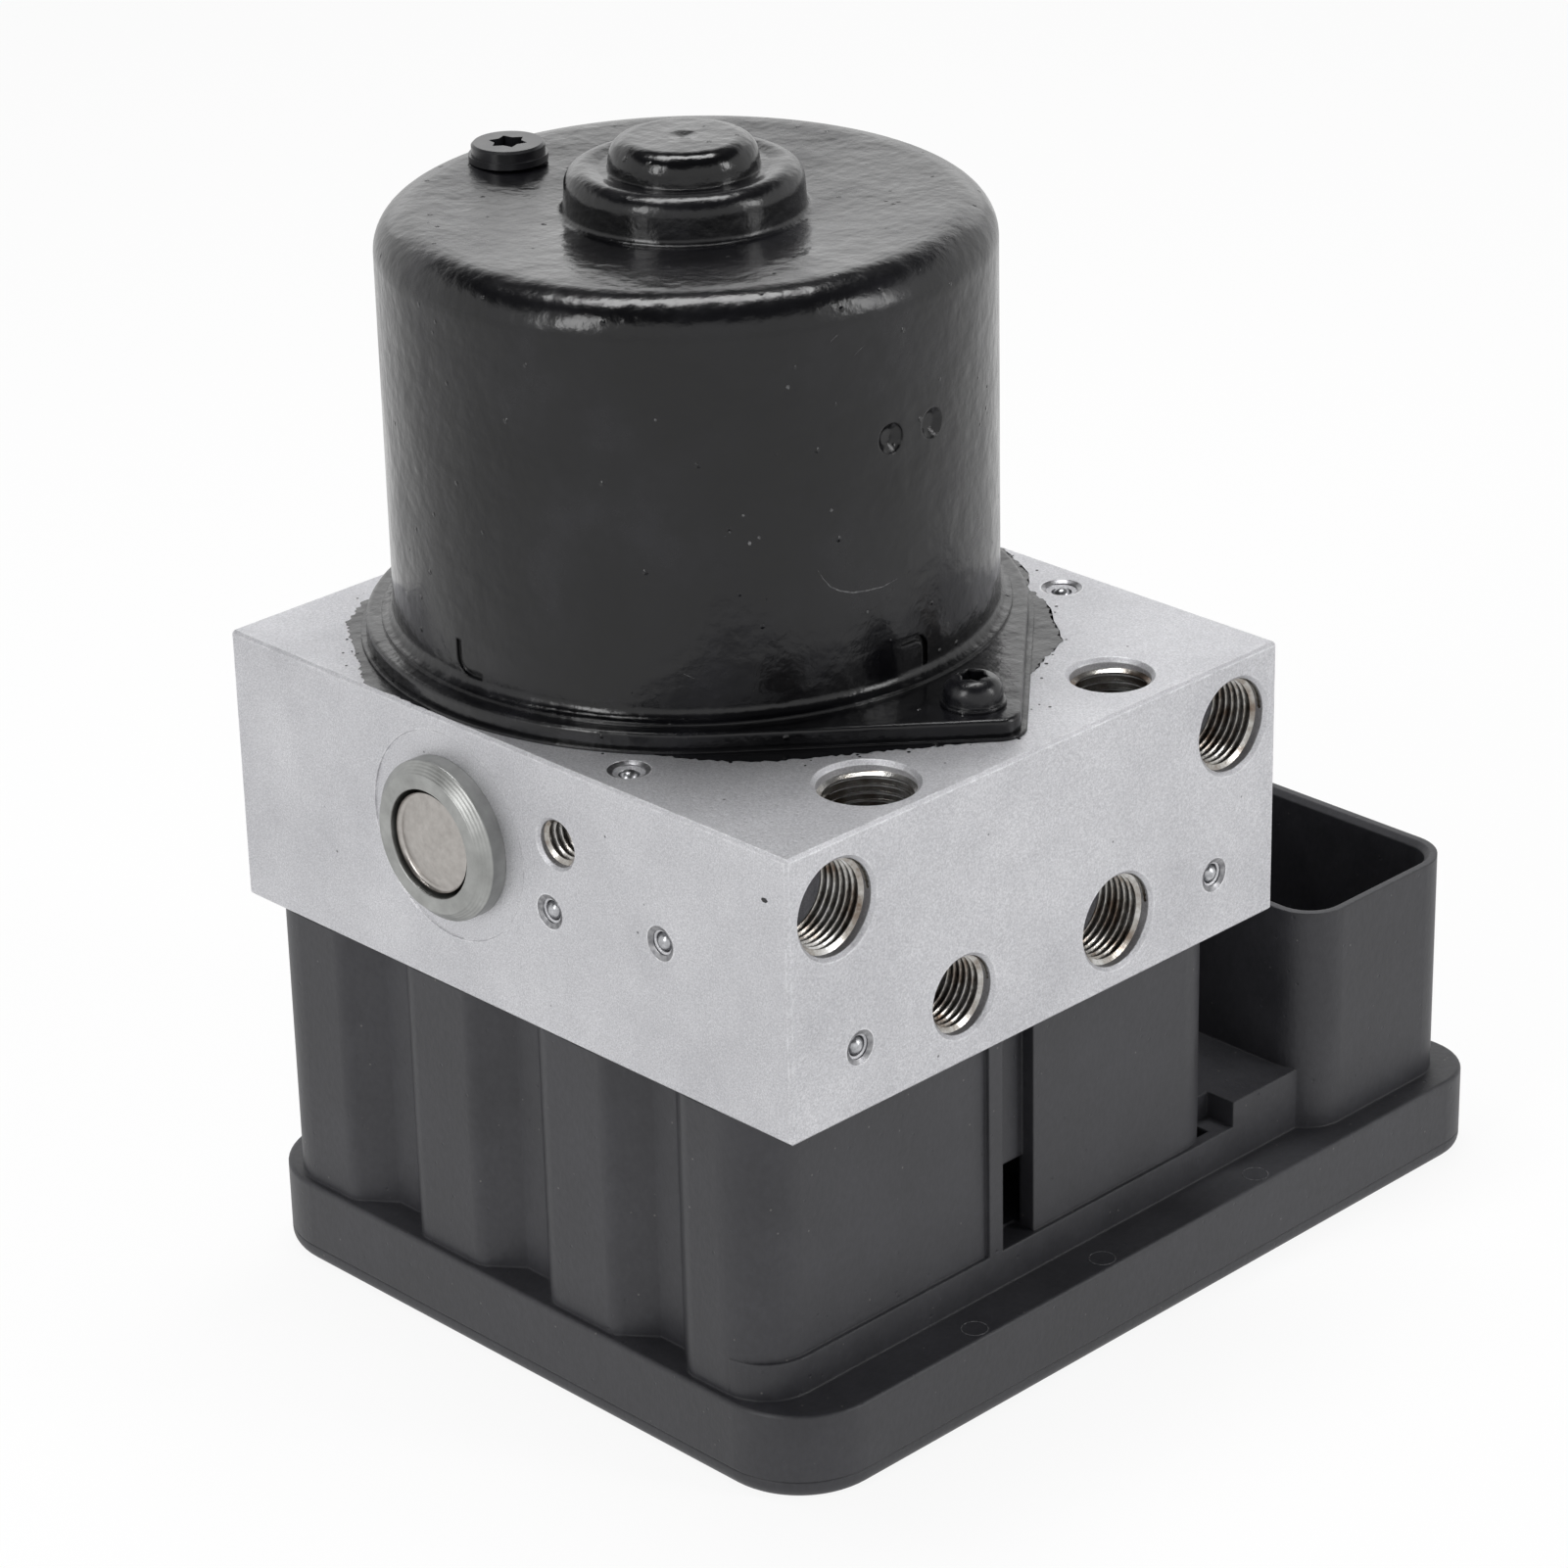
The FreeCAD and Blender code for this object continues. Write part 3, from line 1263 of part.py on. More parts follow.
def ecu_housing():
    """The moulded control unit case: flange, fluted coil chambers, ledge and connector shroud."""
    body = doc.addObject("PartDesign::Body", "ecu_case")
    add_coil_chambers(body)
    add_ledge_and_shroud(body)
    doc.recompute()
    before = body.Shape
    pad(body, "flange", base_box(), "cover_thickness", "flange_height")
    doc.recompute()
    round_base(body, "flange_corners", before)
    rim = flange_rim(number("cover_thickness") + number("flange_height"))
    dress(body, "Fillet", "flange_edge_round", "flange_edge", rim)
    cut_front_groove(body)
    cut_inside(body)
    cut = doc.addObject("Part::Cut", "ecu_housing")
    cut.Base = body
    cut.Tool = group("pin_passages", connector_bars("fit_gap", "passage"))
    return keep(cut, "ecu_housing")


def flange_rim(level):
    """Pick the outer rim of the flange's top face."""
    reach_x = number("base_length") / 2 - 0.01
    reach_y = number("base_depth") / 2 - 0.01
    middle = number("plug_stand") / 2

    def choose(edge):
        box = edge.BoundBox
        if abs(box.ZMin - level) > 0.01 or abs(box.ZMax - level) > 0.01:
            return False
        return max(box.XMax - middle, middle - box.XMin) > reach_x or max(box.YMax, -box.YMin) > reach_y
    return choose


def add_coil_chambers(body):
    """Fluted block over the coils and the thin skirt at its foot."""
    before = Part.Shape()
    pad(body, "coil_chambers", lobe_outline(), FLANGE_TOP, "housing_height - seal_thickness")
    doc.recompute()
    front = -number("base_depth") / 2 + number("housing_front")
    back = -number("base_depth") / 2 + number("housing_back")

    def at_corner(point):
        return abs(point.y - front) < 0.01 or abs(point.y - back) < 0.01
    face = (number("plug_stand") - number("base_length")) / 2 + number("lobe_inset")

    def on_lobe(point):
        return abs(point.x - face) < 0.01 and not at_corner(point)
    corners = new_uprights(body, before, at_corner)
    dress(body, "Fillet", "chamber_corners", "housing_corner", corners)
    dress(body, "Fillet", "lobe_faces", "lobe_round", new_uprights(body, before, on_lobe))
    pad(body, "skirt", skirt_outline(), FLANGE_TOP, "skirt_height")
    low_x = f"({LEFT} + groove_left)"
    strip = box_points(low_x, f"{FRONT} + housing_front - skirt_step", f"{low_x} + strip_width", f"{FRONT} + housing_front + 1")
    pad(body, "front_strip", strip, FLANGE_TOP, "housing_height - seal_thickness")


def skirt_outline():
    """The skirt's outline: round the near left corner, straight along the front and under the notch of the ledge."""
    centre_x = f"({LEFT} + lobe_inset + housing_corner)"
    centre_y = f"({FRONT} + housing_front - skirt_step + housing_corner)"
    points = []
    for i in range(13):
        angle = math.radians(185 + 85 * i / 12)
        points.append((f"{centre_x} + housing_corner * {math.cos(angle):.5f}",
                       f"{centre_y} + housing_corner * {math.sin(angle):.5f}"))
    wall = f"{LEFT} + block_width - housing_right_inset"
    right = f"{wall} + notch_width + 0.5"
    front = f"{FRONT} + housing_front - skirt_step"
    inner = f"{FRONT} + housing_front + 1"
    notch_end = f"{front} + notch_length + 0.5"
    return points + [(right, front), (right, notch_end), (f"{wall} - 1", notch_end), (f"{wall} - 1", inner), (centre_x, inner)]


def add_ledge_and_shroud(body):
    """The marked ledge beside the chambers and the deep open shroud of the connector."""
    wall = f"({LEFT} + block_width - housing_right_inset)"
    front = f"({FRONT} + housing_front - skirt_step)"
    end = f"({FRONT} + shroud_front + shroud_length)"
    inside = f"({LEFT} + shroud_left + shroud_corner)"
    ledge = [
        (f"{wall} + notch_width", front),
        (inside, front),
        (inside, end),
        (f"{wall} - 1", end),
        (f"{wall} - 1", f"{front} + notch_length"),
        (f"{wall} + notch_width", f"{front} + notch_length"),
    ]
    pad(body, "ledge", ledge, FLANGE_TOP, "ledge_height")
    low_x = f"({LEFT} + shroud_left)"
    low_y = f"({FRONT} + shroud_front)"
    left = (number("plug_stand") - number("base_length")) / 2 + number("shroud_left")
    low = -number("base_depth") / 2 + number("shroud_front")
    limits = (left, low, left + number("shroud_width"), low + number("shroud_length"))
    doc.recompute()
    before = body.Shape
    outer = box_points(low_x, low_y, f"{low_x} + shroud_width", f"{low_y} + shroud_length")
    pad(body, "shroud", outer, FLANGE_TOP, "shroud_height")
    outer_corners = new_uprights(body, before, at_corners(limits, 0))
    doc.recompute()
    before = body.Shape
    inner = box_points(f"{low_x} + shroud_wall", f"{low_y} + shroud_wall",
                       f"{low_x} + shroud_width - shroud_wall", f"{low_y} + shroud_length - shroud_wall")
    pocket(body, "shroud_cavity", inner, f"{FLANGE_TOP} + shroud_height", "shroud_height - shroud_floor")
    wall = number("shroud_wall")
    corners = new_uprights(body, before, at_corners(limits, wall))
    dress(body, "Fillet", "cavity_corners", "shroud_corner - shroud_wall", corners)
    dress(body, "Fillet", "shroud_corners", "shroud_corner", outer_corners)
    rim = number("cover_thickness") + number("flange_height") + number("shroud_height")

    def inner_rim(edge):
        box = edge.BoundBox
        level = abs(box.ZMin - rim) < 0.01 and abs(box.ZMax - rim) < 0.01
        return level and box.XMin > left + wall / 2 and box.XMax < limits[2] - wall / 2 \
            and box.YMin > low + wall / 2 and box.YMax < limits[3] - wall / 2
    dress(body, "Chamfer", "rim_bevel", "shroud_bevel", inner_rim)
    key_y = f"{low_y} + key_setback"
    key = box_points(f"{low_x} + shroud_wall / 2", key_y, f"{low_x} + shroud_wall + key_reach", f"{key_y} + key_width")
    pad(body, "coding_key", key, SHROUD_FLOOR, "shroud_height - shroud_floor - key_drop")


def cut_front_groove(body):
    """The upright groove in the front wall beside the strip, with the window at its foot."""
    low_x = f"({LEFT} + groove_left + strip_width)"
    high_x = f"({LEFT} + groove_left + groove_width)"
    front = f"({FRONT} + housing_front)"
    skirt_top = "(housing_height - skirt_height)"
    groove = box_points(low_x, f"{front} - 1", high_x, f"{front} + groove_depth")
    pocket(body, "groove", groove, BLOCK_FLOOR, skirt_top)
    through = box_points(low_x, f"{front} - 1", high_x, f"{front} + housing_wall + 1")
    level = f"{FLANGE_TOP} + skirt_height"
    pocket(body, "window", through, level, "window_height", upward=True)


def cut_inside(body):
    """Coil pockets, the pocket between them, the board chamber and the screw and lead holes."""
    depth = f"({HOUSING_TOP} - {CHAMBER_FLOOR})"
    for kind, i, x, y in valve_places():
        drill(body, f"{kind}_coil_pocket_{i}", "coil_radius + coil_gap", depth, (x, y, HOUSING_TOP), "+Z")
    middle = box_points(f"{AXIS_X} - pocket_half_width", f"{FRONT} + housing_front + housing_wall",
                        f"{AXIS_X} + pocket_half_width", f"{FRONT} + housing_back - housing_wall")
    pocket(body, "middle_pocket", middle, HOUSING_TOP, depth)
    pocket(body, "board_chamber", inner_base("flange_wall"), "cover_thickness", "rib_height + board_thickness", upward=True)
    inner = inner_base("(flange_wall + rib_width)")
    pocket(body, "board_space", inner, BOARD_TOP, f"{CEILING} - {BOARD_TOP}", upward=True)
    for i, (x, y) in enumerate(ecu_screw_places()):
        span = f"{HOUSING_TOP} - {CEILING} + 1"
        drill(body, f"case_screw_hole_{i + 1}", "ecu_screw_radius + fit_gap", span, (x, y, HOUSING_TOP), "+Z")
        drill(body, f"case_head_hole_{i + 1}", "ecu_head_radius + fit_gap", "ecu_head_height + rest_gap", (x, y, CEILING), "-Z")
    lead_at = (AXIS_X, f"{AXIS_Y} + lead_offset", CHAMBER_FLOOR)
    drill(body, "case_lead_hole", "lead_radius + fit_gap", f"{CHAMBER_FLOOR} - {CEILING} + 1", lead_at, "+Z")


def ecu_cover():
    """Flat moulded cover with a rounded lower edge and a rib that holds the board against its ledge."""
    body = doc.addObject("PartDesign::Body", "ecu_cover")
    pad(body, "cover_plate", base_box(), "0", "cover_thickness")
    doc.recompute()
    round_base(body, "cover_corners", Part.Shape())

    def at_level(level):
        return lambda edge: abs(edge.BoundBox.ZMin - level) < 0.01 and abs(edge.BoundBox.ZMax - level) < 0.01
    dress(body, "Fillet", "cover_lower_edge", "cover_round", at_level(0))
    dress(body, "Chamfer", "cover_seam", "seam_chamfer", at_level(number("cover_thickness")))
    pad(body, "cover_rib", inner_base("(flange_wall + rest_gap)"), "cover_thickness", "rib_height")
    level = "cover_thickness + rib_height"
    pocket(body, "cover_rib_inside", inner_base("(flange_wall + rib_width)"), level, "rib_height")
    return keep(body, "ecu_cover")


def circuit_board():
    """The board that fills the flange, clamped between the cover's rib and the case."""
    body = doc.addObject("PartDesign::Body", "circuit_board")
    pad(body, "board_plate", inner_base("(flange_wall + rest_gap)"), "cover_thickness + rib_height", "board_thickness")
    return keep(body, "circuit_board")


def ecu_seal():
    """Foam seal between the case and the block, cut out round the coils."""
    body = doc.addObject("PartDesign::Body", "ecu_seal")
    left = f"{LEFT} + lobe_inset + valley_depth + seal_inset"
    right = f"{LEFT} + block_width - housing_right_inset - seal_inset"
    front = f"{FRONT} + housing_front + groove_depth + seal_inset"
    back = f"{FRONT} + housing_back - seal_inset"
    pad(body, "seal_sheet", box_points(left, front, right, back), HOUSING_TOP, "seal_thickness")
    for kind, i, x, y in valve_places():
        drill(body, f"seal_{kind}_hole_{i}", "coil_radius + coil_gap", "seal_thickness + 1", (x, y, BLOCK_FLOOR), "+Z")
    middle = box_points(f"{AXIS_X} - pocket_half_width", f"{FRONT} + housing_front + housing_wall + seal_inset",
                        f"{AXIS_X} + pocket_half_width", f"{FRONT} + housing_back - housing_wall - seal_inset")
    pocket(body, "seal_middle", middle, BLOCK_FLOOR, "seal_thickness")
    for i, (x, y) in enumerate(ecu_screw_places()):
        drill(body, f"seal_screw_hole_{i + 1}", "ecu_screw_radius + fit_gap", "seal_thickness + 1", (x, y, BLOCK_FLOOR), "+Z")
    return keep(body, "ecu_seal")


def ecu_screws():
    """Four screws through the case into the block."""
    screws = []
    for i, (x, y) in enumerate(ecu_screw_places()):
        head_top = f"({CEILING} + ecu_head_height + rest_gap)"
        profile = [
            ("0", "-ecu_head_height"),
            ("ecu_head_radius", "-ecu_head_height"),
            ("ecu_head_radius", "0"),
            ("ecu_screw_radius", "0"),
            ("ecu_screw_radius", f"{BLOCK_FLOOR} + ecu_screw_grip - {head_top}"),
            ("0", f"{BLOCK_FLOOR} + ecu_screw_grip - {head_top}"),
        ]
        screws.append(turned(f"ecu_screw_{i + 1}", profile, (x, y, head_top)))
    return keep(group("ecu_screws", screws), "ecu_screws")


def connector_bars(grow, word):
    """The connector's contacts as square bars, or the holes they pass through when grown by a gap."""
    bars = []
    centre_x = f"({LEFT} + shroud_left + shroud_width / 2)"
    centre_y = f"({FRONT} + shroud_front + shroud_length / 2)"
    spots = []
    for sign in ("-", "+"):
        for i in range(-4, 5):
            spots.append((f"{centre_x} {sign} pin_row_spread", f"{centre_y} + {i} * pin_pitch", "pin_width", "pin_width"))
        spots.append((centre_x, f"{centre_y} {sign} blade_spread", "blade_width", "pin_width"))
    floor = BOARD_TOP
    for i, (x, y, wide, deep) in enumerate(spots):
        bar = doc.addObject("Part::Box", f"contact_{word}_{i + 1}")
        bar.setExpression("Length", bound(f"{wide} + 2 * {grow}"))
        bar.setExpression("Width", bound(f"{deep} + 2 * {grow}"))
        bar.setExpression("Height", bound(f"{SHROUD_FLOOR} - {floor} + pin_rise"))
        corner = (f"{x} - {wide} / 2 - {grow}", f"{y} - {deep} / 2 - {grow}", f"{floor} + rest_gap / 2")
        set_base(bar, "Placement", corner)
        bars.append(bar)
    return bars


def connector_pins():
    """Two rows of signal pins with a power blade at each end."""
    return keep(group("connector_pins", connector_bars("0", "pin")), "connector_pins")


def motor_lead():
    """Insulated lead plug that carries current from the board through the block to the brushes."""
    low = f"{BOARD_TOP} + rest_gap / 2"
    top = f"{BLOCK_TOP} - rest_gap / 2"
    profile = [
        ("0", low),
        ("lead_radius - 1", low),
        ("lead_radius - 1", f"{BLOCK_FLOOR} - 2"),
        ("lead_radius", f"{BLOCK_FLOOR} - 2"),
        ("lead_radius", top),
        ("0", top),
    ]
    at = (AXIS_X, f"{AXIS_Y} + lead_offset", "0")
    return keep(turned("motor_lead", profile, at), "motor_lead")


def check_and_write():
    """Refuse any failed object, then write one file for each piece."""
    doc.recompute()
    for item in doc.Objects:
        if "Invalid" in item.State or "Error" in item.State:
            raise RuntimeError(item.Label + " did not build: " + str(item.State))
    os.makedirs("parts", exist_ok=True)
    for item in nodes:
        shape = item.Shape
        if shape.isNull() or not shape.isValid() or not shape.Solids:
            raise RuntimeError(item.Label + " is not a valid solid")
        shape.exportStep(f"parts/{item.Label}.step")
    print(len(nodes), "pieces written")


valve_block()
closing_balls()
motor_housing()
motor_gasket()
motor_screws()
motor_vent_plug()
bearings()
field_magnets()
armature_shaft()
armature_core()
armature_winding()
commutator()
brush_holder()
brushes()
pumps()
accumulators()
valves()
ecu_housing()
ecu_cover()
circuit_board()
ecu_seal()
ecu_screws()
connector_pins()
motor_lead()
check_and_write()
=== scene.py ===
import math
import random
import bmesh
import bpy
from mathutils import Matrix, Vector


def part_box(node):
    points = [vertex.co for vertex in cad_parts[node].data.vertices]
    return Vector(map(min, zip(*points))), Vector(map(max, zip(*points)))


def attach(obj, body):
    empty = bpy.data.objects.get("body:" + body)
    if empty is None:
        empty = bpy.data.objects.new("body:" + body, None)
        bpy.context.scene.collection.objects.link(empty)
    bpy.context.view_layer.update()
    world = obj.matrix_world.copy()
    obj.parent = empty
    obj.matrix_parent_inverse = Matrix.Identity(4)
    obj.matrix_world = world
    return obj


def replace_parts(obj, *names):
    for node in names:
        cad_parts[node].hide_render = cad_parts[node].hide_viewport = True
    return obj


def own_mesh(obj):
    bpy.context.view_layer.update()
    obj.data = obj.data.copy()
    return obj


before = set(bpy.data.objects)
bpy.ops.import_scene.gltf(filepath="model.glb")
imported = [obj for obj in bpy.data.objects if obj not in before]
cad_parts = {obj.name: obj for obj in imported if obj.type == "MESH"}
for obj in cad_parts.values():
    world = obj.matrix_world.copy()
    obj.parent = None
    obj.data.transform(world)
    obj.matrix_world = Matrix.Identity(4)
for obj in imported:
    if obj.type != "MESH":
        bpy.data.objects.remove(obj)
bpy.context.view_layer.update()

random.seed(7)
MM = 0.001


# Valve block
# A sawn length of extruded aluminium, milled on all faces, drilled, and then blasted to an even pale grain.
# Everything else is screwed, pressed or staked to it.

def linear(colour):
    """An sRGB hex colour as linear light, with full alpha."""
    parts = [int(colour[i:i + 2], 16) / 255 for i in (1, 3, 5)]
    return tuple(c / 12.92 if c <= 0.04045 else ((c + 0.055) / 1.055) ** 2.4 for c in parts) + (1.0,)


def add_node(material, kind, settings=None, links=None):
    """Add one shader node, set its sockets or properties, and link its inputs to (node, output) pairs."""
    node = material.node_tree.nodes.new("ShaderNode" + kind)
    for name, value in (settings or {}).items():
        if name == "stops":
            while len(node.color_ramp.elements) < len(value):
                node.color_ramp.elements.new(0.5)
            for element, (position, colour) in zip(node.color_ramp.elements, value):
                element.position = position
                element.color = linear(colour)
        elif isinstance(name, int) or name in node.inputs:
            node.inputs[name].default_value = value
        else:
            setattr(node, name, value)
    for name, (source, output) in (links or {}).items():
        material.node_tree.links.new(source.outputs[output], node.inputs[name])
    return node


def new_material(name, **sockets):
    """A material with its shader's even values set on the shader itself."""
    material = bpy.data.materials.new(name)
    material.use_nodes = True
    shader = material.node_tree.nodes["Principled BSDF"]
    for socket, value in sockets.items():
        shader.inputs[socket.replace("_", " ")].default_value = value
    place = add_node(material, "TexCoord")
    return material, shader, (place, "Object")


def connect(material, shader, socket, node, output):
    """Feed one of the shader's sockets."""
    material.node_tree.links.new(node.outputs[output], shader.inputs[socket])


def dress(node_names, material):
    """Give CAD nodes a material."""
    for name in node_names:
        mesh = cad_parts[name].data
        mesh.materials.clear()
        mesh.materials.append(material)


# Blasted aluminium: a pale grey metal that never mirrors. A 0.2 mm grain breaks up its light, slow clouds
# show where the blast fell, and small black pits are scattered about. Along the edges a painted highlight,
# broken up by noise, lightens the colour.
blasted, shader, place = new_material("blasted_aluminium", Metallic=0.9)
grain = add_node(blasted, "TexNoise", {"Scale": 4800, "Detail": 3, "Roughness": 0.7}, {"Vector": place})
cloud = add_node(blasted, "TexNoise", {"Scale": 70, "Detail": 5, "Roughness": 0.6}, {"Vector": place})
grain_tone = add_node(blasted, "ValToRGB", {"stops": [(0.32, "#B6B6BA"), (0.52, "#CDCDD0"), (0.7, "#E0E0E3")]},
                      {"Fac": (grain, "Fac")})
cloud_tone = add_node(blasted, "ValToRGB",
                      {"stops": [(0.3, "#E8E8E9"), (0.7, "#FFFFFF")]}, {"Fac": (cloud, "Fac")})
tone = add_node(blasted, "Mix", {"data_type": "RGBA", "blend_type": "MULTIPLY", 0: 0.8},
                {6: (grain_tone, "Color"), 7: (cloud_tone, "Color")})
black_pit = add_node(blasted, "TexVoronoi", {"Scale": 150}, {"Vector": place})
pit_mask = add_node(blasted, "MapRange", {"From Min": 0.015, "From Max": 0.035, "To Min": 0.75, "To Max": 0.0},
                    {"Value": (black_pit, "Distance")})
pitted = add_node(blasted, "Mix",
                  {"data_type": "RGBA", 7: linear("#3A3A3C")}, {0: (pit_mask, "Result"), 6: (tone, 2)})
# Painted highlight: where the rounded edge normal leans away from the face's own, and a noise allows, the
# colour is lightened to near white.
rolled_edge = add_node(blasted, "Bevel", {"samples": 4, "Radius": 0.0005})
true_face = add_node(blasted, "NewGeometry")
lean = add_node(blasted, "VectorMath", {"operation": "DOT_PRODUCT"},
                {0: (rolled_edge, "Normal"), 1: (true_face, "Normal")})
near_edge = add_node(blasted, "MapRange", {"From Min": 0.98, "From Max": 0.82}, {"Value": (lean, "Value")})
edge_highlight_noise = add_node(blasted, "TexNoise", {"Scale": 380, "Detail": 4, "Roughness": 0.7}, {"Vector": place})
edge_highlight_breaks = add_node(blasted, "MapRange", {"From Min": 0.42, "From Max": 0.6}, {"Value": (edge_highlight_noise, "Fac")})
painted_edge_highlight = add_node(blasted, "Math", {"operation": "MULTIPLY"}, {0: (near_edge, "Result"), 1: (edge_highlight_breaks, "Result")})
with_edge_highlight = add_node(blasted, "Mix",
                {"data_type": "RGBA", 7: linear("#F6F6F8")}, {0: (painted_edge_highlight, "Value"), 6: (pitted, 2)})
connect(blasted, shader, "Base Color", with_edge_highlight, 2)
gloss = add_node(blasted, "MapRange", {"To Min": 0.42, "To Max": 0.6}, {"Value": (grain, "Fac")})
connect(blasted, shader, "Roughness", gloss, "Result")
pit = add_node(blasted, "TexVoronoi", {"Scale": 900}, {"Vector": place})
pit_depth = add_node(blasted, "MapRange", {"From Max": 0.35},
                     {"Value": (pit, "Distance")})
relief = add_node(blasted, "Math", {"operation": "ADD"}, {0: (grain, "Fac"), 1: (pit_depth, "Result")})
broken_edge = add_node(blasted, "Bevel", {"samples": 4, "Radius": 0.0002})
bump = add_node(blasted, "Bump", {"Strength": 0.35, "Distance": 0.0001},
                {"Height": (relief, "Value"), "Normal": (broken_edge, "Normal")})
connect(blasted, shader, "Normal", bump, "Normal")
dress(["valve_block"], blasted)

# The block's length and depth, how far the motor's axis lies behind its front face, and how far the pumps' axis
# lies under its top, in millimetres.
BLOCK_LENGTH, BLOCK_DEPTH, AXIS_DEPTH, PUMP_DROP = 85, 98.5, 58.5, 15.6
block_low, block_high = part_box("valve_block")
BLOCK_LEFT, BLOCK_FRONT, BLOCK_TOP = block_low.x, block_low.y, block_high.z
AXIS_X, AXIS_Y = (block_low.x + block_high.x) / 2, BLOCK_FRONT + AXIS_DEPTH * MM


# Pipe threads
# Cut with a tap in the six ports and the three bracket holes after blasting, so the flanks keep no grain.
# Old brake fluid has left a brown film between some of the turns.

def new_piece(name, mesh_builder, material, smooth=35):
    """Make a mesh object, shade it smooth up to an angle, and let it ride on the module."""
    mesh = bpy.data.meshes.new(name)
    mesh_builder.to_mesh(mesh)
    mesh_builder.free()
    mesh.materials.append(material)
    mesh.polygons.foreach_set("use_smooth", [True] * len(mesh.polygons))
    mesh.set_sharp_from_angle(angle=math.radians(smooth))
    piece = bpy.data.objects.new(name, mesh)
    bpy.context.scene.collection.objects.link(piece)
    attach(piece, "module")
    return piece


def facing(point, direction):
    """A frame at a point whose +Z looks along a direction."""
    return Matrix.Translation(Vector(point)) @ Vector(direction).to_track_quat("Z", "Y").to_matrix().to_4x4()


def add_thread(mesh, place, radius, pitch, depth, start, length, around=48):
    """Wind one thread ridge down a bore, from its mouth inwards."""
    count = int(length / pitch * around)
    rings = []
    for i in range(count + 1):
        angle = math.tau * i / around
        level = -start - pitch * i / around
        fade = min(1.0, i / (around * 0.5), (count - i) / (around * 0.5) + 0.02)
        section = [(radius + 0.04, 0.46 * pitch), (radius - depth * fade, 0.09 * pitch),
                   (radius - depth * fade, -0.09 * pitch), (radius + 0.04, -0.46 * pitch)]
        spots = [Vector((r * math.cos(angle), r * math.sin(angle), level + h)) for r, h in section]
        rings.append([mesh.verts.new(place @ (spot * MM)) for spot in spots])
    for low, high in zip(rings, rings[1:]):
        for k in range(4):
            mesh.faces.new((low[k], high[k], high[(k + 1) % 4], low[(k + 1) % 4]))
    mesh.faces.new(rings[0])
    mesh.faces.new(reversed(rings[-1]))


def block_point(x, y, z):
    """A point in millimetres from the block's left, front, top corner."""
    return Vector((BLOCK_LEFT, BLOCK_FRONT, BLOCK_TOP)) + Vector((x, y, z)) * MM


# Tapped aluminium: grey flanks that the tap cut smooth, with a brown stain in patches 4 mm wide.
tapped, shader, place = new_material("tapped_aluminium", Metallic=0.95, Roughness=0.26)
film = add_node(tapped, "TexNoise", {"Scale": 260, "Detail": 5, "Roughness": 0.65}, {"Vector": place})
film_tone = add_node(tapped, "ValToRGB", {"stops": [(0.36, "#CBCAC8"), (0.5, "#A9A6A1"), (0.66, "#75665A")]},
                     {"Fac": (film, "Fac")})
connect(tapped, shader, "Base Color", film_tone, "Color")
tear = add_node(tapped, "TexNoise", {"Scale": 2500, "Detail": 2}, {"Vector": place})
bump = add_node(tapped, "Bump", {"Strength": 0.3, "Distance": 0.00008}, {"Height": (tear, "Fac")})
connect(tapped, shader, "Normal", bump, "Normal")

FRONT_FACE, BACK_FACE, TOP_FACE = (0, -1, 0), (0, 1, 0), (0, 0, 1)
LEFT_FACE, RIGHT_FACE = (-1, 0, 0), (1, 0, 0)

# Each port's place on the block, the face that it opens in, and its thread's outside radius.
PORTS = {
    "port_thread_high_left": ((8.0, 0, -8.8), FRONT_FACE, 6.0),
    "port_thread_high_right": ((77.0, 0, -8.8), FRONT_FACE, 6.0),
    "port_thread_low_left": ((28.9, 0, -27.85), FRONT_FACE, 5.0),
    "port_thread_low_right": ((56.1, 0, -27.85), FRONT_FACE, 6.0),
    "port_thread_top_left": ((21.4, 8.3, 0), TOP_FACE, 6.0),
    "port_thread_top_right": ((63.6, 8.3, 0), TOP_FACE, 5.0),
}
for name, (spot, out, radius) in PORTS.items():
    thread = bmesh.new()
    add_thread(thread, facing(block_point(*spot), out), radius, pitch=1.0, depth=0.6, start=1.1, length=7.7)
    new_piece(name, thread, tapped, smooth=50)

BRACKET_RADIUS = 3.0
BRACKET_HOLES = {
    "bracket_thread_left": ((0, 39, -10.5), LEFT_FACE),
    "bracket_thread_right": ((BLOCK_LENGTH, 39, -10.5), RIGHT_FACE),
    "bracket_thread_back": ((8.5, BLOCK_DEPTH, -PUMP_DROP), BACK_FACE),
}
for name, (spot, out) in BRACKET_HOLES.items():
    thread = bmesh.new()
    add_thread(thread, facing(block_point(*spot), out), BRACKET_RADIUS, pitch=1.0, depth=0.55, start=0.9,
               length=9.2, around=36)
    new_piece(name, thread, tapped, smooth=50)


# Closing balls
# Hardened steel balls pressed into the ends of the drilled galleries. A staking punch has folded the rim of
# each recess over the ball and left a fine lip round it.

def rounded(corners, step=10):
    """A turned outline: each corner is (radius, height, corner rounding), in millimetres."""
    points = []
    for i, (x, y, bend) in enumerate(corners):
        here = Vector((x, y))
        if not bend:
            points.append(here)
            continue
        before = (Vector(corners[i - 1][:2]) - here).normalized()
        after = (Vector(corners[i + 1][:2]) - here).normalized()
        half = before.angle(after) / 2
        centre = here + (before + after).normalized() * bend / math.sin(half)
        start = here + before * bend / math.tan(half) - centre
        sweep = math.pi - 2 * half
        turn = 1 if start.x * after.y - start.y * after.x > 0 else -1
        count = max(2, round(math.degrees(sweep) / step))
        points += [centre + Matrix.Rotation(turn * sweep * k / count, 2) @ start for k in range(count + 1)]
    return points


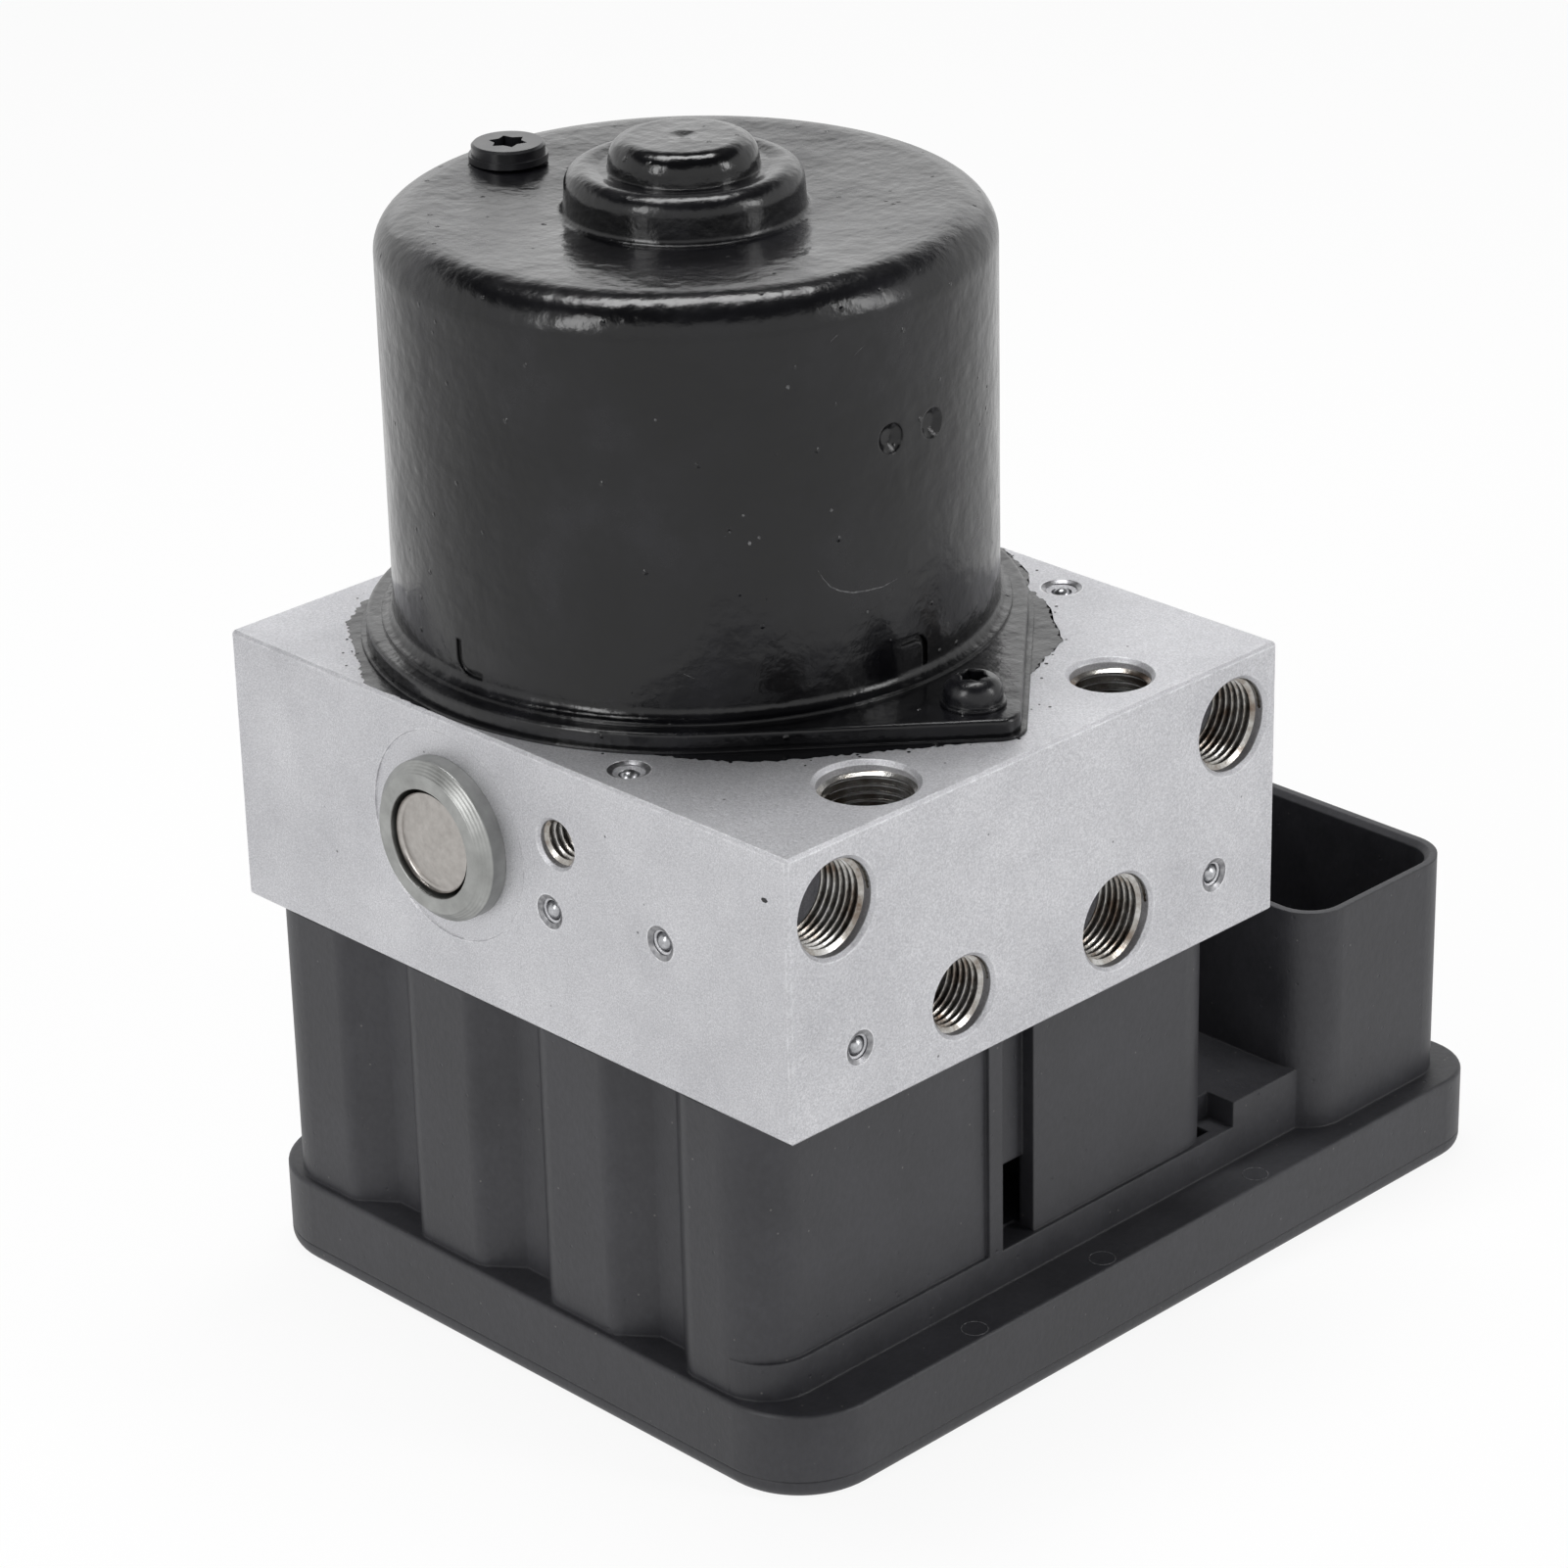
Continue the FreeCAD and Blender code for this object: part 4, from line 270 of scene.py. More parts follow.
def turn_outline(mesh, outline, place, around):
    """Revolve an outline about the place's Z axis."""
    rings = []
    for r, h in outline:
        if r < 1e-5:
            rings.append([mesh.verts.new(place @ Vector((0, 0, h * MM)))])
            continue
        rings.append([mesh.verts.new(place @ Vector((r * MM * math.cos(math.tau * i / around),
                                                     r * MM * math.sin(math.tau * i / around), h * MM)))
                      for i in range(around)])
    for low, high in zip(rings, rings[1:]):
        for i in range(around):
            j = (i + 1) % around
            corners = [low[i % len(low)], low[j % len(low)], high[j % len(high)], high[i % len(high)]]
            unique = list(dict.fromkeys(corners))
            if len(unique) > 2:
                mesh.faces.new(unique)


# Hardened steel: grey, polished, with faint tumbling marks.
steel, shader, place = new_material("hardened_steel", Metallic=1.0, Roughness=0.3)
marks = add_node(steel, "TexNoise", {"Scale": 1800, "Detail": 3}, {"Vector": place})
marks_tone = add_node(steel, "ValToRGB",
                      {"stops": [(0.3, "#8E8F92"), (0.7, "#C2C3C6")]}, {"Fac": (marks, "Fac")})
connect(steel, shader, "Base Color", marks_tone, "Color")
dress(["closing_balls", "upper_bearing", "lower_bearing", "eccentric_bearing", "armature_shaft",
       "pump_sleeve_left", "pump_sleeve_right", "pump_piston_left", "pump_piston_right"], steel)

# Each ball's place on the block, the face that it closes, and its recess's radius.
BALLS = [((11.3, 0, -27.85), FRONT_FACE, 2.2), ((73.7, 0, -27.85), FRONT_FACE, 2.2),
         ((5.1, 31.2, 0), TOP_FACE, 2.6), ((79.9, 31.2, 0), TOP_FACE, 2.6),
         ((0, 40.5, -19.8), LEFT_FACE, 2.2), ((0, 21.3, -17.5), LEFT_FACE, 2.2),
         ((BLOCK_LENGTH, 40.5, -19.8), RIGHT_FACE, 2.2), ((BLOCK_LENGTH, 21.3, -17.5), RIGHT_FACE, 2.2)]
stakes = bmesh.new()
for spot, out, recess in BALLS:
    lip = rounded([(recess, -0.58, 0), (recess - 0.75, -0.58, 0.05),
                   (recess - 0.6, -0.3, 0.1), (recess, -0.03, 0)], step=30)
    turn_outline(stakes, lip, facing(block_point(*spot), out), around=48)

# Pressed aluminium: where the punch folded the metal it is smoother and darker than the blasted faces.
pressed, shader, place = new_material("pressed_aluminium", Metallic=0.95, Roughness=0.36)
smear = add_node(pressed, "TexNoise", {"Scale": 1500, "Detail": 3}, {"Vector": place})
smear_tone = add_node(pressed, "ValToRGB",
                      {"stops": [(0.35, "#77777A"), (0.65, "#9B9B9D")]}, {"Fac": (smear, "Fac")})
connect(pressed, shader, "Base Color", smear_tone, "Color")
new_piece("staked_rims", stakes, pressed)


# Pump plugs
# A zinc plated ring is screwed in over each pump, chamfered outside, with a bright turned disc pressed in it.

# Zinc plate: a cool grey that is satin, with turning marks 0.3 mm apart and a little cloudiness.
zinc, shader, place = new_material("zinc_plated_steel", Metallic=1.0)
cloud = add_node(zinc, "TexNoise", {"Scale": 240, "Detail": 6, "Roughness": 0.6}, {"Vector": place})
zinc_tone = add_node(zinc, "ValToRGB", {"stops": [(0.3, "#8E8F8D"), (0.55, "#A2A3A1"), (0.75, "#B2B3B1")]},
                     {"Fac": (cloud, "Fac")})
connect(zinc, shader, "Base Color", zinc_tone, "Color")
gloss = add_node(zinc, "MapRange", {"To Min": 0.34, "To Max": 0.55}, {"Value": (cloud, "Fac")})
connect(zinc, shader, "Roughness", gloss, "Result")
from_axis = add_node(zinc, "Mapping", {"Location": (0, -AXIS_Y, PUMP_DROP * MM - BLOCK_TOP)}, {"Vector": place})
turning = add_node(zinc, "TexWave",
                   {"wave_type": "RINGS", "rings_direction": "X", "Scale": 1000, "Distortion": 1.0},
                   {"Vector": (from_axis, "Vector")})
bump = add_node(zinc, "Bump", {"Strength": 0.25, "Distance": 0.00006}, {"Height": (turning, "Fac")})
connect(zinc, shader, "Normal", bump, "Normal")
dress(["ecu_screws", "accumulator_cap_left", "accumulator_cap_right"], zinc)

# Turned stainless steel: smoother and warmer than the ring, faintly brushed.
stainless, shader, place = new_material("turned_stainless_steel", Metallic=1.0, Roughness=0.34)
brush = add_node(stainless, "TexNoise", {"Scale": 900, "Detail": 4, "Roughness": 0.7}, {"Vector": place})
brush_tone = add_node(stainless, "ValToRGB",
                      {"stops": [(0.3, "#A09C98"), (0.7, "#B4B0AC")]}, {"Fac": (brush, "Fac")})
connect(stainless, shader, "Base Color", brush_tone, "Color")
bump = add_node(stainless, "Bump", {"Strength": 0.12, "Distance": 0.00006}, {"Height": (brush, "Fac")})
connect(stainless, shader, "Normal", bump, "Normal")
dress(["inlet_valve_bodies", "outlet_valve_bodies"], stainless)

RING_OUTLINE = [(6.95, -7.5, 0), (6.95, 3.3, 0.25), (8.9, 3.3, 0.25), (10.3, 1.9, 0.35), (10.3, -0.12, 0),
                (9.5, -0.12, 0), (9.5, -7.5, 0), (6.95, -7.5, 0)]
DISC_OUTLINE = [(0, -7.5, 0), (6.4, -7.5, 0), (6.4, 3.2, 0.5), (0, 3.2, 0)]
for side, x, out in (("left", 0, LEFT_FACE), ("right", BLOCK_LENGTH, RIGHT_FACE)):
    mouth = facing(block_point(x, AXIS_DEPTH, -PUMP_DROP), out)
    ring = bmesh.new()
    turn_outline(ring, rounded(RING_OUTLINE), mouth, around=128)
    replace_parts(new_piece("pump_plug_ring_" + side, ring, zinc), "pump_ring_" + side)
    disc = bmesh.new()
    turn_outline(disc, rounded(DISC_OUTLINE), mouth, around=128)
    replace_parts(new_piece("pump_plug_disc_" + side, disc, stainless), "pump_cap_" + side)


# Motor housing, gasket and screws
# A deep drawn steel can is screwed down over a thin plate and painted in place, so a little of the block round
# it is covered too. The paint's edge is ragged where the mask let it creep.

# Semi-gloss black enamel: deep black with a soft skin of orange peel, a few dust nibs and rubbed places.
enamel, shader, place = new_material("semi_gloss_black_enamel", IOR=1.45)
peel = add_node(enamel, "TexNoise", {"Scale": 620, "Detail": 3}, {"Vector": place})
rub = add_node(enamel, "TexNoise", {"Scale": 55, "Detail": 6, "Roughness": 0.62}, {"Vector": place})
rub_tone = add_node(enamel, "ValToRGB", {"stops": [(0.4, "#060608"), (0.54, "#0C0C0F"), (0.7, "#1A1A1E")]},
                    {"Fac": (rub, "Fac")})
connect(enamel, shader, "Base Color", rub_tone, "Color")
gloss = add_node(enamel, "MapRange", {"From Min": 0.3, "From Max": 0.75, "To Min": 0.13, "To Max": 0.34},
                 {"Value": (rub, "Fac")})
connect(enamel, shader, "Roughness", gloss, "Result")
nibs = add_node(enamel, "TexVoronoi", {"Scale": 260}, {"Vector": place})
nib_height = add_node(enamel, "MapRange", {"From Max": 0.1, "To Min": 3.4, "To Max": 0.0},
                      {"Value": (nibs, "Distance")})
sag = add_node(enamel, "TexNoise", {"Scale": 130, "Detail": 2}, {"Vector": place})
coat = add_node(enamel, "Math", {"operation": "MULTIPLY_ADD", 1: 3.0}, {0: (sag, "Fac"), 2: (peel, "Fac")})
skin = add_node(enamel, "Math", {"operation": "ADD"}, {0: (coat, "Value"), 1: (nib_height, "Result")})
soft_edge = add_node(enamel, "Bevel", {"samples": 4, "Radius": 0.0004})
bump = add_node(enamel, "Bump", {"Strength": 0.4, "Distance": 0.00025},
                {"Height": (skin, "Value"), "Normal": (soft_edge, "Normal")})
connect(enamel, shader, "Normal", bump, "Normal")
dress(["motor_housing", "motor_gasket", "motor_screws"], enamel)

# The outline of the paint on the block's top, in millimetres from the block's left front corner.
PAINT_EDGE = [(38, 6.3), (42.4, 4.4), (46.8, 6.7), (55.8, 15), (67.1, 19.5), (74.5, 28.6), (77.0, 34.2),
              (79.7, 36.5), (84.6, 45.3), (84.6, 71), (80, 83), (70, 92), (56, 96.5), (42, 97), (28, 96),
              (17, 93), (11.5, 89.6), (6.9, 83.2), (0.4, 73), (0.4, 61), (3.2, 51), (6, 42), (8.6, 34.6),
              (12.8, 26.4), (18, 20.3), (24.8, 15.7), (33.4, 9.7)]


def ragged(points, spacing, depth):
    """Divide a closed outline into short steps and push each step in or out a little."""
    outline = []
    for (x0, y0), (x1, y1) in zip(points, points[1:] + points[:1]):
        run = math.hypot(x1 - x0, y1 - y0)
        for i in range(max(1, int(run / spacing))):
            t = i * spacing / run
            push = random.uniform(-depth, depth)
            outline.append((x0 + (x1 - x0) * t + (y1 - y0) / run * push,
                            y0 + (y1 - y0) * t - (x1 - x0) / run * push))
    return outline


def add_face(mesh, points):
    """Add one face through a list of points."""
    mesh.faces.new([mesh.verts.new(point) for point in points])


# The film keeps clear of the block's edges, and its specks of the balls in the top.
FILM_MARGIN, SPECK_MARGIN, BALL_MARGIN, SPECKS = 0.4, 0.8, 3, 160
TOP_BALLS = [spot[:2] for spot, out, recess in BALLS if out == TOP_FACE]
paint_film_and_chip_shade = bmesh.new()
film_outline = [(min(max(x, FILM_MARGIN), BLOCK_LENGTH - FILM_MARGIN), y)
                for x, y in ragged(PAINT_EDGE, spacing=0.5, depth=0.3)]
add_face(paint_film_and_chip_shade, [block_point(x, y, 0.03) for x, y in film_outline])
for _ in range(SPECKS):
    x, y = random.choice(film_outline)
    x, y, size = x + random.gauss(0, 0.9), y + random.gauss(0, 0.9), random.uniform(0.06, 0.28)
    on_block = (SPECK_MARGIN < x < BLOCK_LENGTH - SPECK_MARGIN
                and SPECK_MARGIN < y < BLOCK_DEPTH - SPECK_MARGIN)
    if on_block and all(math.hypot(x - ball_x, y - ball_y) > BALL_MARGIN for ball_x, ball_y in TOP_BALLS):
        add_face(paint_film_and_chip_shade, [block_point(x + size * math.cos(math.tau * i / 7),
                                          y + size * math.sin(math.tau * i / 7), 0.035) for i in range(7)])

# A chip in the left face, close to the front corner, holds painted shade: a dark patch of the enamel.
# Its radii are in millimetres.
CHIP, CHIP_Y, CHIP_Z = [0.6, 0.42, 0.3, 0.36, 0.5, 0.34, 0.28, 0.4], 3.7, -6.0
add_face(paint_film_and_chip_shade, [block_point(-0.03, CHIP_Y - r * math.cos(math.tau * i / len(CHIP)),
                                  CHIP_Z + r * math.sin(math.tau * i / len(CHIP))) for i, r in enumerate(CHIP)])
bmesh.ops.triangulate(paint_film_and_chip_shade, faces=paint_film_and_chip_shade.faces)
new_piece("paint_overspray_and_chip_shade", paint_film_and_chip_shade, enamel)

# Scuffed enamel: where something rubbed the paint it is dull, paler and dusty.
scuffed, shader, place = new_material("scuffed_enamel", Roughness=0.55)
powder = add_node(scuffed, "TexNoise", {"Scale": 2500, "Detail": 3}, {"Vector": place})
powder_tone = add_node(scuffed, "ValToRGB",
                       {"stops": [(0.35, "#39393B"), (0.65, "#6C6C6D")]}, {"Fac": (powder, "Fac")})
connect(scuffed, shader, "Base Color", powder_tone, "Color")


CAN_RADIUS, MARK_LIFT = 37.8, 0.02


def on_can(turn, level):
    """A point just off the can's wall, from its angle in degrees and its height in millimetres."""
    reach, angle = (CAN_RADIUS + MARK_LIFT) * MM, math.radians(turn)
    return Vector((AXIS_X + reach * math.cos(angle), AXIS_Y + reach * math.sin(angle), level * MM))


# Scratches as lines and flecks as spots, each point an angle and a height on the can.
SCRATCHES = [[(-111.1, 107.7), (-110.2, 106.6), (-108.7, 105.3), (-106.7, 104.5), (-104.1, 103.9),
              (-101.0, 103.7), (-97.7, 103.6), (-94.3, 104.0)],
             [(-103.1, 133.4), (-101.0, 134.3)], [(-107.8, 135.7), (-106.4, 136.3)],
             [(-136.0, 96.2), (-134.2, 95.6)]]
FLECKS = [(-127.9, 113.4), (-127.1, 113.9), (-124.6, 115.8), (-123.6, 112.3), (-121.9, 112.9),
          (-108.2, 114.9), (-101.1, 101.0), (-61.7, 123.5), (-63.0, 121.7), (-139.5, 128.0), (-96.0, 96.5),
          (-116.0, 131.0)]
marks = bmesh.new()
for line in SCRATCHES:
    width = [0.03 + 0.07 * math.sin(math.pi * i / (len(line) - 1)) for i in range(len(line))]
    lower = [marks.verts.new(on_can(turn, level - w)) for (turn, level), w in zip(line, width)]
    upper = [marks.verts.new(on_can(turn, level + w)) for (turn, level), w in zip(line, width)]
    for i in range(len(line) - 1):
        marks.faces.new((lower[i], lower[i + 1], upper[i + 1], upper[i]))
for turn, level in FLECKS:
    size = random.uniform(0.06, 0.26)
    half_turn = math.degrees(size / CAN_RADIUS)
    add_face(marks, [on_can(turn + half_turn * math.cos(math.tau * i / 6),
                            level + size * random.uniform(0.6, 1.4) * math.sin(math.tau * i / 6))
                     for i in range(6)])
new_piece("paint_scuffs", marks, scuffed)


# Motor vent plug
# A moulded plug that is pushed into the can's top and lets the motor breathe, with a six-pointed recess.

# Moulded black plastic with a shine: smooth, slightly lighter than the enamel.
vent_black, shader, place = new_material("moulded_black_plastic", IOR=1.49)
flow = add_node(vent_black, "TexNoise", {"Scale": 400, "Detail": 4}, {"Vector": place})
flow_tone = add_node(vent_black, "ValToRGB",
                     {"stops": [(0.35, "#151517"), (0.7, "#1F1F22")]}, {"Fac": (flow, "Fac")})
connect(vent_black, shader, "Base Color", flow_tone, "Color")
gloss = add_node(vent_black, "MapRange", {"To Min": 0.22, "To Max": 0.38}, {"Value": (flow, "Fac")})
connect(vent_black, shader, "Roughness", gloss, "Result")
dress(["motor_vent_plug"], vent_black)


# Parts inside the motor and the block
# They are seen only when the module is taken apart: steel sheets, ferrite, copper, mouldings and carbon.

# Stacked electrical steel: dark grey with the lines of its sheets. They are drawn 1 mm apart, twice as coarse
# as real ones, so that they show.
laminated, shader, place = new_material("stacked_electrical_steel", Metallic=0.8, Roughness=0.5)
sheets = add_node(laminated, "TexWave",
                  {"wave_type": "BANDS", "bands_direction": "Z", "Scale": 320, "Distortion": 0.3},
                  {"Vector": place})
sheets_tone = add_node(laminated, "ValToRGB",
                       {"stops": [(0.2, "#4A4B4E"), (0.8, "#7C7D80")]}, {"Fac": (sheets, "Fac")})
connect(laminated, shader, "Base Color", sheets_tone, "Color")
dress(["armature_core"], laminated)

# Sintered ferrite: a matt charcoal ceramic.
ferrite, shader, place = new_material("sintered_ferrite", Roughness=0.7)
sinter = add_node(ferrite, "TexNoise", {"Scale": 900, "Detail": 4}, {"Vector": place})
sinter_tone = add_node(ferrite, "ValToRGB",
                       {"stops": [(0.3, "#2C2C2F"), (0.7, "#404044")]}, {"Fac": (sinter, "Fac")})
connect(ferrite, shader, "Base Color", sinter_tone, "Color")
dress([f"field_magnet_{i}" for i in range(1, 5)], ferrite)

# Enamelled copper: warm metal under varnish, with the ridges of the wire 0.8 mm apart.
copper, shader, place = new_material("enamelled_copper", Metallic=0.85, Roughness=0.35)
wire = add_node(copper, "TexWave",
                {"wave_type": "BANDS", "bands_direction": "Z", "Scale": 380, "Distortion": 2.0},
                {"Vector": place})
wire_tone = add_node(copper, "ValToRGB",
                     {"stops": [(0.2, "#8A4A25"), (0.8, "#C77B48")]}, {"Fac": (wire, "Fac")})
connect(copper, shader, "Base Color", wire_tone, "Color")
bump = add_node(copper, "Bump", {"Strength": 0.4, "Distance": 0.0003}, {"Height": (wire, "Fac")})
connect(copper, shader, "Normal", bump, "Normal")
dress(["armature_winding", "commutator", "inlet_coils", "outlet_coils"], copper)

# Thermoset moulding and pressed carbon: dull near-blacks.
thermoset, shader, place = new_material("thermoset_moulding", Roughness=0.6)
filler = add_node(thermoset, "TexNoise", {"Scale": 1500, "Detail": 3}, {"Vector": place})
filler_tone = add_node(thermoset, "ValToRGB",
                       {"stops": [(0.3, "#26262A"), (0.7, "#36363A")]}, {"Fac": (filler, "Fac")})
connect(thermoset, shader, "Base Color", filler_tone, "Color")
dress(["brush_holder", "brush_left", "brush_right", "motor_lead"], thermoset)

# The accumulator pistons are turned from aluminium and stay bare, and so do the valves' steel armatures.
dress(["accumulator_piston_left", "accumulator_piston_right"], tapped)
dress([f"{kind}_armature_{i}" for kind in ("inlet", "outlet") for i in range(1, 5)], stainless)


# Return springs
# Wound from round steel wire. Each stands on its fixed seat and keeps its length; in the real module the pump
# or accumulator piston at its other end presses it together.

def add_spring(mesh, place, radius, wire, pitch, length, around=32, section=10):
    """Wind a round wire about the place's Z axis, from its origin to a length, in millimetres."""
    rise = length - 2 * wire
    count = round(rise / pitch * around)
    turns = [math.tau * k / section for k in range(section)]
    rings = []
    for i in range(count + 1):
        out = Vector((math.cos(math.tau * i / around), math.sin(math.tau * i / around), 0))
        spot = out * radius + Vector((0, 0, wire + rise * i / count))
        rim = [spot + wire * (out * math.cos(turn) + Vector((0, 0, math.sin(turn)))) for turn in turns]
        rings.append([mesh.verts.new(place @ (point * MM)) for point in rim])
    for low, high in zip(rings, rings[1:]):
        for k in range(section):
            mesh.faces.new((low[k], low[(k + 1) % section], high[(k + 1) % section], high[k]))
    mesh.faces.new(reversed(rings[0]))
    mesh.faces.new(rings[-1])


# Each spring's joint, then its coil radius, wire radius, pitch and the piston's stroke, in millimetres, and
# last the way it reaches from its fixed seat.
SPRINGS = {
    "pump_spring_left": ("pump_stroke_left", 2.9, 0.4, 2.1, 1.6, (1, 0, 0)),
    "pump_spring_right": ("pump_stroke_right", 2.9, 0.4, 2.1, 1.6, (-1, 0, 0)),
    "accumulator_spring_left": ("accumulator_stroke_left", 6.0, 0.6, 3.4, 8.0, (0, -1, 0)),
    "accumulator_spring_right": ("accumulator_stroke_right", 6.0, 0.6, 3.4, 8.0, (0, -1, 0)),
}
for name, (stroke_joint, radius, wire, pitch, stroke, reach) in SPRINGS.items():
    low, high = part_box(name)
    length = abs((high - low).dot(Vector(reach)))
    seat = (low + high) / 2 - Vector(reach) * length / 2
    coil = bmesh.new()
    add_spring(coil, facing(seat, reach), radius, wire, pitch, length / MM)
    spring = new_piece("wound_" + name, coil, steel)
    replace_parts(spring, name)
    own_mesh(spring)


# Control unit seal
# A soft sheet that is squeezed between the case and the block round the coils.

# Closed-cell foam: matt, with cells of a third of a millimetre.
foam, shader, place = new_material("closed_cell_foam", Roughness=0.95)
cells = add_node(foam, "TexVoronoi", {"Scale": 3000}, {"Vector": place})
cells_tone = add_node(foam, "ValToRGB",
                      {"stops": [(0.1, "#151515"), (0.8, "#2A2A2A")]}, {"Fac": (cells, "Distance")})
connect(foam, shader, "Base Color", cells_tone, "Color")
dress(["ecu_seal"], foam)


# Control unit case and cover
# Injection moulded in glass-filled polyamide. The case stands round the coils and carries the connector; the
# cover is welded on below and leaves a fine seam.

# Glass-filled polyamide: a satin charcoal with short paler fibre streaks, fine pores, dust and rubbed sheen.
polyamide, shader, place = new_material("glass_filled_polyamide", IOR=1.5)
fibre_space = add_node(polyamide, "Mapping", {"Scale": (1.0, 1.0, 0.7)}, {"Vector": place})
fibre = add_node(polyamide, "TexNoise",
                 {"Scale": 1300, "Detail": 3, "Roughness": 0.6}, {"Vector": (fibre_space, "Vector")})
smear = add_node(polyamide, "TexNoise", {"Scale": 48, "Detail": 5, "Roughness": 0.6}, {"Vector": place})
mixed = add_node(polyamide, "Math",
                 {"operation": "MULTIPLY_ADD", 1: 0.35}, {0: (fibre, "Fac"), 2: (smear, "Fac")})
tone = add_node(polyamide, "ValToRGB", {"stops": [(0.5, "#252529"), (0.68, "#2E2E32"), (0.86, "#37373B")]},
                {"Fac": (mixed, "Value")})
dust = add_node(polyamide, "TexVoronoi", {"Scale": 330}, {"Vector": place})
speck = add_node(polyamide, "MapRange", {"From Min": 0.02, "From Max": 0.06, "To Min": 0.5, "To Max": 0.0},
                 {"Value": (dust, "Distance")})
dusty = add_node(polyamide, "Mix",
                 {"data_type": "RGBA", 7: linear("#7C7A76")}, {0: (speck, "Result"), 6: (tone, "Color")})
connect(polyamide, shader, "Base Color", dusty, 2)
gloss = add_node(polyamide, "MapRange", {"From Min": 0.3, "From Max": 0.7, "To Min": 0.42, "To Max": 0.56},
                 {"Value": (smear, "Fac")})
connect(polyamide, shader, "Roughness", gloss, "Result")
soft_edge = add_node(polyamide, "Bevel", {"samples": 4, "Radius": 0.0004})
pore = add_node(polyamide, "TexVoronoi", {"Scale": 380}, {"Vector": place})
pore_height = add_node(polyamide, "MapRange", {"From Min": 0.04, "From Max": 0.1, "To Max": 1.6},
                       {"Value": (pore, "Distance")})
moulded = add_node(polyamide, "Math", {"operation": "ADD"}, {0: (fibre, "Fac"), 1: (pore_height, "Result")})
bump = add_node(polyamide, "Bump", {"Strength": 0.3, "Distance": 0.00015},
                {"Height": (moulded, "Value"), "Normal": (soft_edge, "Normal")})
connect(polyamide, shader, "Normal", bump, "Normal")
dress(["ecu_housing", "ecu_cover"], polyamide)

# Rubbed polyamide: dull and paler, with dust in it, where the mould's ejector pins pressed fine rings.
rubbed, shader, place = new_material("rubbed_polyamide", Roughness=0.65)
lint = add_node(rubbed, "TexNoise", {"Scale": 2200, "Detail": 3}, {"Vector": place})
lint_tone = add_node(rubbed, "ValToRGB",
                     {"stops": [(0.4, "#2C2C30"), (0.65, "#6A6A6C")]}, {"Fac": (lint, "Fac")})
connect(rubbed, shader, "Base Color", lint_tone, "Color")

# The rings' centres, the height of the flange that they lie on, and their outline, in millimetres.
EJECTOR_PINS, FLANGE_TOP = [(-30.9, -48.7), (-7.5, -48.65), (22.1, -48.6)], 11.8
EJECTOR_RIM = [(1.6, 0), (1.63, 0.04), (1.7, 0.04), (1.73, 0)]
rings = bmesh.new()
for x, y in EJECTOR_PINS:
    turn_outline(rings, EJECTOR_RIM, Matrix.Translation(Vector((x, y, FLANGE_TOP)) * MM), around=48)
new_piece("ejector_rings", rings, rubbed)


# Circuit board and connector pins
# The board lies in the flange; tin plated pins stand up from it into the shroud.

# Solder mask: a glossy dark green lacquer.
solder_mask, shader, place = new_material("solder_mask", Roughness=0.25)
weave = add_node(solder_mask, "TexNoise", {"Scale": 500, "Detail": 3}, {"Vector": place})
weave_tone = add_node(solder_mask, "ValToRGB",
                      {"stops": [(0.3, "#0F3A1E"), (0.7, "#185229")]}, {"Fac": (weave, "Fac")})
connect(solder_mask, shader, "Base Color", weave_tone, "Color")
dress(["circuit_board"], solder_mask)

# Tin plate: a soft white metal.
tin, shader, place = new_material("tin_plate", Metallic=1.0, Roughness=0.32)
flow = add_node(tin, "TexNoise", {"Scale": 1200, "Detail": 3}, {"Vector": place})
flow_tone = add_node(tin, "ValToRGB", {"stops": [(0.3, "#A9A69C"), (0.7, "#CFCDC6")]}, {"Fac": (flow, "Fac")})
connect(tin, shader, "Base Color", flow_tone, "Color")
dress(["connector_pins"], tin)


# Studio
# A white sweep under the module and white walls round it, a dark ceiling with soft lamps, and the camera at
# the photograph's place.

def background_rays(owner, path):
    """One for the rays that show the background: straight ones, mirrored ones and those through glass."""
    mirrored = add_node(owner, "Math",
                        {"operation": "MAXIMUM"}, {0: (path, "Is Camera Ray"), 1: (path, "Is Glossy Ray")})
    return add_node(owner, "Math", {"operation": "MAXIMUM"},
                    {0: (mirrored, "Value"), 1: (path, "Is Transmission Ray")})


# White paper: bare and even. It glows for the rays that show the background, and keeps a tenth of its shading
# there, so that the module's shadow stays.
floor_white = bpy.data.materials.new("white_paper_sweep")
floor_white.use_nodes = True
tree = floor_white.node_tree
paper = add_node(floor_white, "BsdfDiffuse", {"Color": linear("#F4F4F4")})
glow = add_node(floor_white, "Emission", {"Color": linear("#FFFFFF"), "Strength": 1.0})
shown = background_rays(floor_white, add_node(floor_white, "LightPath"))
seen = add_node(floor_white, "Math", {"operation": "MULTIPLY", 1: 0.9}, {0: (shown, "Value")})
blend = add_node(floor_white, "MixShader", {}, {0: (seen, "Value"), 1: (paper, "BSDF"), 2: (glow, "Emission")})
tree.links.new(blend.outputs[0], tree.nodes["Material Output"].inputs["Surface"])
sweep = bmesh.new()
bmesh.ops.create_grid(sweep, x_segments=1, y_segments=1, size=4)
floor_mesh = bpy.data.meshes.new("paper_sweep")
sweep.to_mesh(floor_mesh)
sweep.free()
floor_mesh.materials.append(floor_white)
floor = bpy.data.objects.new("paper_sweep", floor_mesh)
bpy.context.scene.collection.objects.link(floor)

